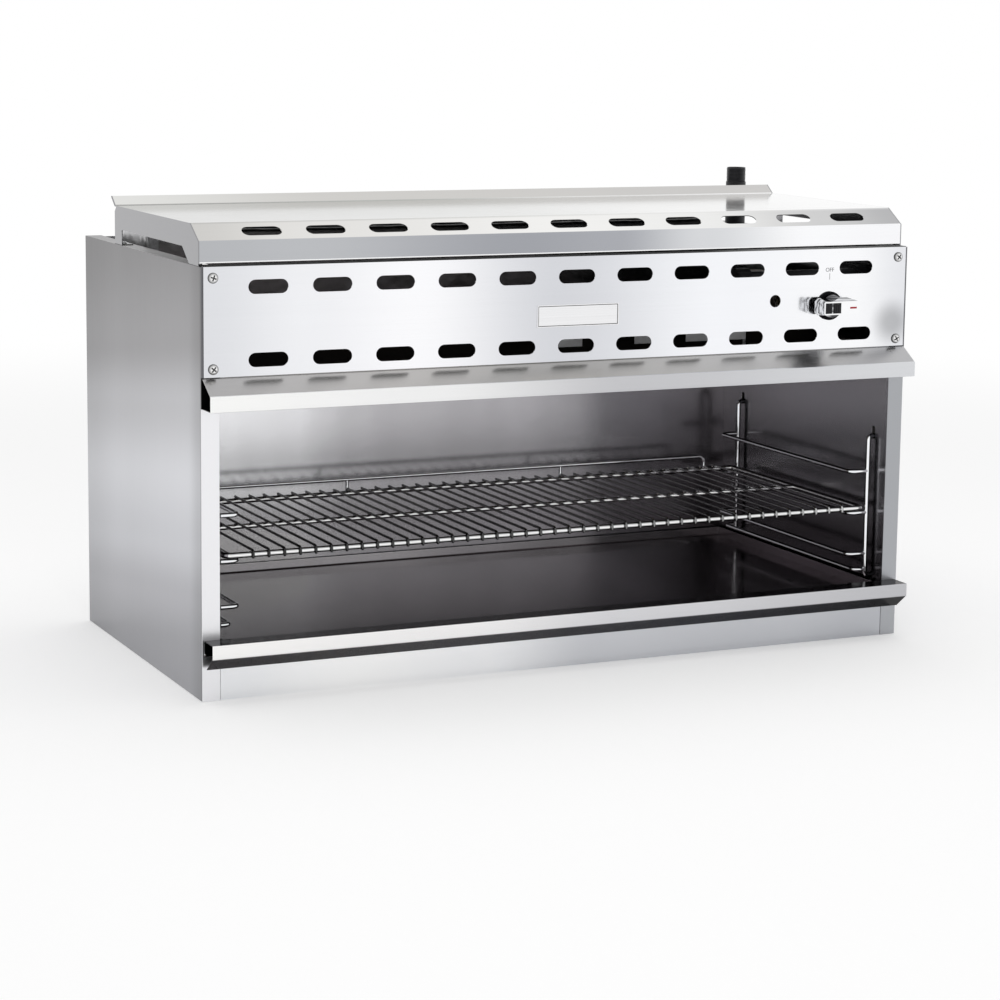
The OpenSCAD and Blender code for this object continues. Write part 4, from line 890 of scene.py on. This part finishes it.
# For each CAD node, the name of its piece and how far its edges are rounded, in millimetres.
EASED = {
    "side_panel_left": ("left_side_sheet", 0.45),
    "side_panel_right": ("right_side_sheet", 0.45),
    "front_panel": ("control_panel_sheet", 0.4),
    "hood_trim": ("deflector_sheet", 0.5),
    "top_cover": ("cover_sheet", 0.45),
    "kick_panel": ("kick_sheet", 0.45),
    "spillage_pan": ("pan_tray", 0.5),
    "pan_handle": ("pan_grip", 0.5),
    "back_panel": ("back_sheet", 0.4),
    "bottom_panel": ("floor_sheet", 0.4),
    "liner_left": ("left_liner_sheet", 0.3),
    "liner_right": ("right_liner_sheet", 0.3),
    "ceiling_panel": ("ceiling_sheet", 0.3),
    "air_baffles": ("baffle_sheets", 0.3),
    "nameplate": ("blank_plate", 0.2),
    "knob": ("knob_bar", 1.1),
    "knob_bezel": ("knob_ring", 0.9),
    "gas_valve": ("valve_casting", 0.8),
    "pilot_valve": ("pilot_valve_casting", 0.5),
}
for node, (name, edge) in EASED.items():
    eased(node, name, edge, 3 if edge > 0.7 else 2)

# ---------------------------------------------------------------- rack and guides

GUIDE_END = 440.0  # how far an upright's ends go into the side wall
GUIDE_TOP, GUIDE_FOOT = 249.0, 71.0
GUIDE_WIRE, RUNNER_WIRE = 6.35, 5.6
RACK_X, RACK_FRONT, RACK_REAR, RACK_Z = 420.025, 27.0, 352.0, 158.8
RAIL_WIRE, MIDDLE_WIRE = 7.0, 6.0
WIRE_COUNT, WIRE_PITCH, WIRE_Z, CROSS_WIRE = 42, 18.97, 164.0, 3.2
WIRE_HALF = (WIRE_COUNT - 1) / 2
WRAP_TURN, WRAP_STEPS = 130, 10
GUARD_Y, GUARD_FOOT, GUARD_TOP, GUARD_HALF = 358.1, RACK_Z - 3.5, RACK_Z + 17, RACK_X - 42
GUARD_WIRE, STAY_WIRE = 5.0, 4.4


def guide_upright(side, y):
    bend = [(GUIDE_END, GUIDE_TOP), (GUIDE_X, GUIDE_TOP), (GUIDE_X, GUIDE_FOOT), (GUIDE_END, GUIDE_FOOT)]
    return wire(rounded([at(side * x, y, z) for x, z in bend], 5.5 * MM), GUIDE_WIRE)


def guide_runner(side, inner_x, z):
    bend = [(GUIDE_X, FRONT_Y), (inner_x, FRONT_Y), (inner_x, REAR_Y), (GUIDE_X, REAR_Y)]
    return wire(rounded([at(side * x, y, z) for x, y in bend], 8 * MM), RUNNER_WIRE)


def rack_guide(side):
    """Two uprights that end in the side wall, and the runners between them."""
    return ([guide_upright(side, y) for y in (FRONT_Y, REAR_Y)]
            + [guide_runner(side, x, z) for x, z in RUNNERS])


for side, word in ((-1, "left"), (1, "right")):
    wirework(f"{word}_guide_wires", f"rack_guide_{word}", rack_guide(side))

corners = [at(RACK_X, RACK_FRONT, RACK_Z), at(RACK_X, RACK_REAR, RACK_Z), at(-RACK_X, RACK_REAR, RACK_Z),
           at(-RACK_X, RACK_FRONT, RACK_Z)]
middle = (RACK_FRONT + RACK_REAR) / 2
wirework("rack_rails", "rack_frame", [
    wire(rounded(corners, 7 * MM, closed=True), RAIL_WIRE, 16, closed=True),
    wire([at(-RACK_X, middle, RACK_Z), at(RACK_X, middle, RACK_Z)], MIDDLE_WIRE)])

# Each cross wire lies on the rails and bends down round the front one.
turn = WIRE_Z - RACK_Z
wrap = [at(0, RACK_FRONT - turn * math.sin(a), RACK_Z + turn * math.cos(a))
        for a in (math.radians(WRAP_TURN * k / WRAP_STEPS) for k in range(WRAP_STEPS + 1))]
first = at(-WIRE_HALF * WIRE_PITCH, 0, 0) - at(0, 0, 0)
path = [point + first for point in [at(0, RACK_REAR + 3.3, WIRE_Z)] + wrap]
wirework("rack_cross_wires", "rack_wires", [wire(path, CROSS_WIRE, 10, WIRE_COUNT, (WIRE_PITCH, 0, 0))])

# The guard stands behind the rear rail, with two stays between its ends.
guard = [(-GUARD_HALF, GUARD_FOOT), (-GUARD_HALF, GUARD_TOP),
         (GUARD_HALF, GUARD_TOP), (GUARD_HALF, GUARD_FOOT)]
stays = [[at(k * WIRE_PITCH, GUARD_Y, z) for z in (GUARD_FOOT, GUARD_TOP)] for k in (-7.5, 8.5)]
wirework("rack_guard_wire", "rack_guard",
         [wire(rounded([at(x, GUARD_Y, z) for x, z in guard], 9 * MM), GUARD_WIRE)]
         + [wire(stay, STAY_WIRE) for stay in stays])

weld = bmesh.new()
bmesh.ops.create_icosphere(weld, subdivisions=1, radius=1.0,
                           matrix=Matrix.Diagonal((2.7 * MM, 2.5 * MM, 1.0 * MM, 1)))
crossings = [at((k - WIRE_HALF) * WIRE_PITCH, y, WIRE_Z - 1.7)
             for k in range(WIRE_COUNT) for y in (middle, RACK_REAR)]
dressed(made("rack_welds", repeated("rack_welds", to_mesh(weld, "weld"), crossings, spin=0.5)), "rack_frame",
        FINISHES["chrome"])

# ---------------------------------------------------------------- screws

FORWARD, BACKWARD, UP = (0, -1, 0), (0, 1, 0), (0, 0, 1)
screws("panel_cross_screws", "panel_screws", FORWARD, head=12, height=3, shank=4.8, length=10, seed=3)
screws("cover_cross_screws", "cover_screws", UP, head=8, height=2, shank=4, length=8, seed=5)
screws("back_cross_screws", "back_screws", BACKWARD, head=8, height=2, shank=4, length=8, seed=7)
screws("burner_cross_screws", "burner_screws", UP, head=8, height=2, shank=5, length=8, seed=9)

# ---------------------------------------------------------------- knob and marks

KNOB_X, KNOB_Z = 346.0, 419.0
rib = bmesh.new()
bmesh.ops.create_cube(rib, size=1.0, matrix=Matrix.Diagonal((2.3 * MM, 1.0 * MM, 12.4 * MM, 1)))
bmesh.ops.bevel(rib, geom=rib.edges, offset=0.3 * MM, segments=2, affect="EDGES")
rib_places = [at(KNOB_X + x, -30.5, KNOB_Z) for x in (-21.6, -18.6, -15.6, -9.4, -6.4, -3.4)]
dressed(made("knob_ribs", repeated("knob_ribs", to_mesh(rib, "rib"), rib_places)), "knob_inset")
pads = [block((KNOB_X + a, -30.6, KNOB_Z - 6.3), (KNOB_X + b, -30, KNOB_Z + 6.3))
        for a, b in ((-23, -13.4), (-11.4, -1))]
dressed(softened(made("knob_pads", joined("knob_pads", pads)), 0.15), "knob_inset", instead=["knob_inset"])


def lettering(name, words, width):
    """Raised letters, upright and facing the front, centred on the origin."""
    curve = bpy.data.curves.new(name, "FONT")
    curve.body = words
    curve.extrude = 0.02
    flat = made(name, curve)
    bpy.context.view_layer.update()
    mesh = bpy.data.meshes.new_from_object(flat.evaluated_get(bpy.context.evaluated_depsgraph_get()))
    bpy.data.objects.remove(flat)
    xs, ys = ([vert.co[i] for vert in mesh.vertices] for i in range(2))
    size = width * MM / (max(xs) - min(xs))
    middle = Vector(((max(xs) + min(xs)) / 2, (max(ys) + min(ys)) / 2, 0))
    for vert in mesh.vertices:
        x, y, z = (vert.co - middle) * size
        vert.co = (x, -z, y)
    return mesh


print_finish = moulded("grey printed ink", (0.24, 0.24, 0.25), 0.5, 400.0)
letters = lettering("off_letters", "OFF", 11.7)
letters.transform(Matrix.Translation(at(345.8, -1.2, 463)))
mark = joined("off_mark", [letters, block((345.5, -1.3, 451), (346.1, -1.1, 458.6))])
dressed(made("off_mark", mark), "knob_bezel", print_finish)

# A thin black line round the plate, a painted shadow of the gap round it, with its faces just proud of the
# plate's.
PLATE_LEFT, PLATE_RIGHT, PLATE_FOOT, PLATE_TOP, PLATE_LINE = -47.8, 55.8, 407.7, 431.3, 0.7
inner_foot, inner_top = PLATE_FOOT + PLATE_LINE, PLATE_TOP - PLATE_LINE
shadow_line = [block((left, -2.06, foot), (right, -1.9, top)) for left, right, foot, top in (
    (PLATE_LEFT, PLATE_RIGHT, PLATE_FOOT, inner_foot), (PLATE_LEFT, PLATE_RIGHT, inner_top, PLATE_TOP),
    (PLATE_LEFT, PLATE_LEFT + PLATE_LINE, inner_foot, inner_top),
    (PLATE_RIGHT - PLATE_LINE, PLATE_RIGHT, inner_foot, inner_top))]
dressed(made("plate_border", joined("plate_border", shadow_line)), "knob_bezel")

# ---------------------------------------------------------------- gas inlet and flue wrap

INLET_X, INLET_Y, INLET_LOW, INLET_TOP = 433.0, 385.0, 464.0, 565.0
PIPE_RADIUS, PIPE_BORE = 13.35, 10.55  # the bore is a radius too
SHOULDER, PITCH, CREST, THREAD_DEPTH = 546.0, 1.8, 12.95, 0.85
STEPS_A_TURN = 6


def thread_radius(height):
    """The radius round the pipe at one height of a right-hand thread."""
    return lambda turn: CREST - THREAD_DEPTH * abs(2 * ((height / PITCH - turn) % 1.0) - 1)


steps = int((INLET_TOP - 0.8 - SHOULDER) / PITCH * STEPS_A_TURN)
heights = [SHOULDER + 0.4 + k * PITCH / STEPS_A_TURN for k in range(steps)]
loops = ([ring(PIPE_RADIUS, INLET_LOW, 48), ring(PIPE_RADIUS, SHOULDER - 0.5, 48), ring(12.3, SHOULDER, 48)]
         + [ring(thread_radius(h), h, 48) for h in heights]
         + [ring(12.0, INLET_TOP, 48), ring(PIPE_BORE, INLET_TOP, 48), ring(PIPE_BORE, INLET_LOW, 48)])
pipe = skinned("inlet_thread_pipe", loops, closed=True)
pipe.transform(Matrix.Translation(at(INLET_X, INLET_Y, 0)))
dressed(made("inlet_thread_pipe", smoothed(pipe, 40)), "inlet_pipe", instead=["inlet_pipe"])


def foil_wrap():
    """The flue's blanket in creased foil, pushed in from the CAD surface."""
    piece = made("flue_foil", to_mesh(cad_copy("flue_insulation"), "flue_foil"))
    remesh = piece.modifiers.new("grid", "REMESH")
    remesh.mode = "VOXEL"
    remesh.voxel_size = 4.5 * MM
    settled(piece)
    for vert in piece.data.vertices:
        crease = abs(noise.noise(vert.co * 30)) + 0.4 * abs(noise.noise(vert.co * 80))
        vert.co -= vert.normal * min(1.2, 0.2 + 1.6 * crease) * MM
    piece.data.shade_smooth()
    return dressed(piece, "flue_insulation", instead=["flue_insulation"])


foil_wrap()

# ---------------------------------------------------------------- finishes on the CAD nodes that stay

for node, cad in nodes.items():
    cad.data.materials.clear()
    cad.data.materials.append(finish_of(node))

# ---------------------------------------------------------------- studio


class Studio(Graph):
    """The node tree of the world or of the floor."""

    def __init__(self, owner):
        owner.use_nodes = True
        super().__init__(owner.node_tree)
        self.tree.nodes.clear()

    def seen_by(self, *kinds):
        rays = [self.node("ShaderNodeLightPath", output=f"Is {kind} Ray") for kind in kinds]
        return sum(rays[1:], rays[0]).least(1.0)


def studio_world():
    """Plain white as the camera and the metal see it, and half as bright as a light."""
    world = bpy.data.worlds.new("studio")
    scene.world = world
    w = Studio(world)
    light = w.node("ShaderNodeBackground", sockets={
        "Color": (1, 1, 1, 1), "Strength": 0.5 + 0.5 * w.seen_by("Camera", "Glossy", "Transmission")})
    w.node("ShaderNodeOutputWorld", sockets={"Surface": light})


def studio_floor():
    """Pale paper that keeps the object's shadow, and turns plain white further out."""
    half, z = 15, -0.0005
    corners = [(-half, -half, z), (half, -half, z), (half, half, z), (-half, half, z)]
    mesh = bpy.data.meshes.new("studio_floor")
    mesh.from_pydata(corners, [], [(0, 1, 2, 3)])
    floor = made("studio_floor", mesh)
    material = bpy.data.materials.new("studio floor")
    g = Studio(material)
    place = g.node("ShaderNodeTexCoord", output="Object")
    away = g.node("ShaderNodeVectorMath", {"operation": "LENGTH"}, {0: place}, "Value")
    paper = g.node("ShaderNodeBsdfDiffuse", sockets={"Color": (0.84, 0.84, 0.84, 1)})
    lift = g.node("ShaderNodeEmission", sockets={
        "Color": (1, 1, 1, 1), "Strength": 0.31 * g.seen_by("Camera", "Glossy", "Transmission")})
    lit = g.node("ShaderNodeAddShader", sockets={0: paper, 1: lift})
    plain = g.node("ShaderNodeEmission", sockets={"Color": (1, 1, 1, 1), "Strength": 1.0})
    ground = g.node("ShaderNodeMixShader", sockets={0: away.rise(1.1, 3.2), 1: lit, 2: plain})
    g.node("ShaderNodeOutputMaterial", sockets={"Surface": ground})
    floor.data.materials.append(material)


def softbox(name, place, target, width, height, power):
    """A wide lamp that the metal doesn't mirror."""
    lamp = bpy.data.lights.new(name, "AREA")
    lamp.shape = "RECTANGLE"
    lamp.size, lamp.size_y, lamp.energy = width, height, power
    holder = made(name, lamp)
    holder.visible_glossy = False
    holder.location = place
    holder.rotation_euler = (Vector(target) - Vector(place)).to_track_quat("-Z", "Y").to_euler()


def photograph_camera():
    """The camera as it was fitted to the photograph, its angles in radians."""
    yaw, pitch, roll = 0.435537, 0.152750, 0.0123015
    ahead = Vector((math.sin(yaw) * math.cos(pitch), math.cos(yaw) * math.cos(pitch), -math.sin(pitch)))
    right = Vector((math.cos(yaw), -math.sin(yaw), 0))
    up = right.cross(ahead)
    tilted_right = math.cos(roll) * right + math.sin(roll) * up
    tilted_up = math.cos(roll) * up - math.sin(roll) * right
    lens = bpy.data.cameras.new("camera")
    lens.lens = 96.9
    lens.sensor_width = 36
    lens.shift_y = -0.07
    lens.clip_end = 60
    holder = made("camera", lens)
    holder.matrix_world = Matrix.Translation((-1.39573, -3.00544, 0.76388)) @ Matrix(
        (tilted_right, tilted_up, -ahead)).transposed().to_4x4()
    scene.camera = holder


studio_world()
studio_floor()
softbox("overhead softbox", (0.2, 0.1, 3.0), (0, 0, 0.3), 3.6, 3.6, 34)
softbox("front softbox", (-1.6, -3.8, 2.2), (0, 0, 0.3), 3.0, 2.4, 26)
photograph_camera()
scene.view_settings.view_transform = "Standard"
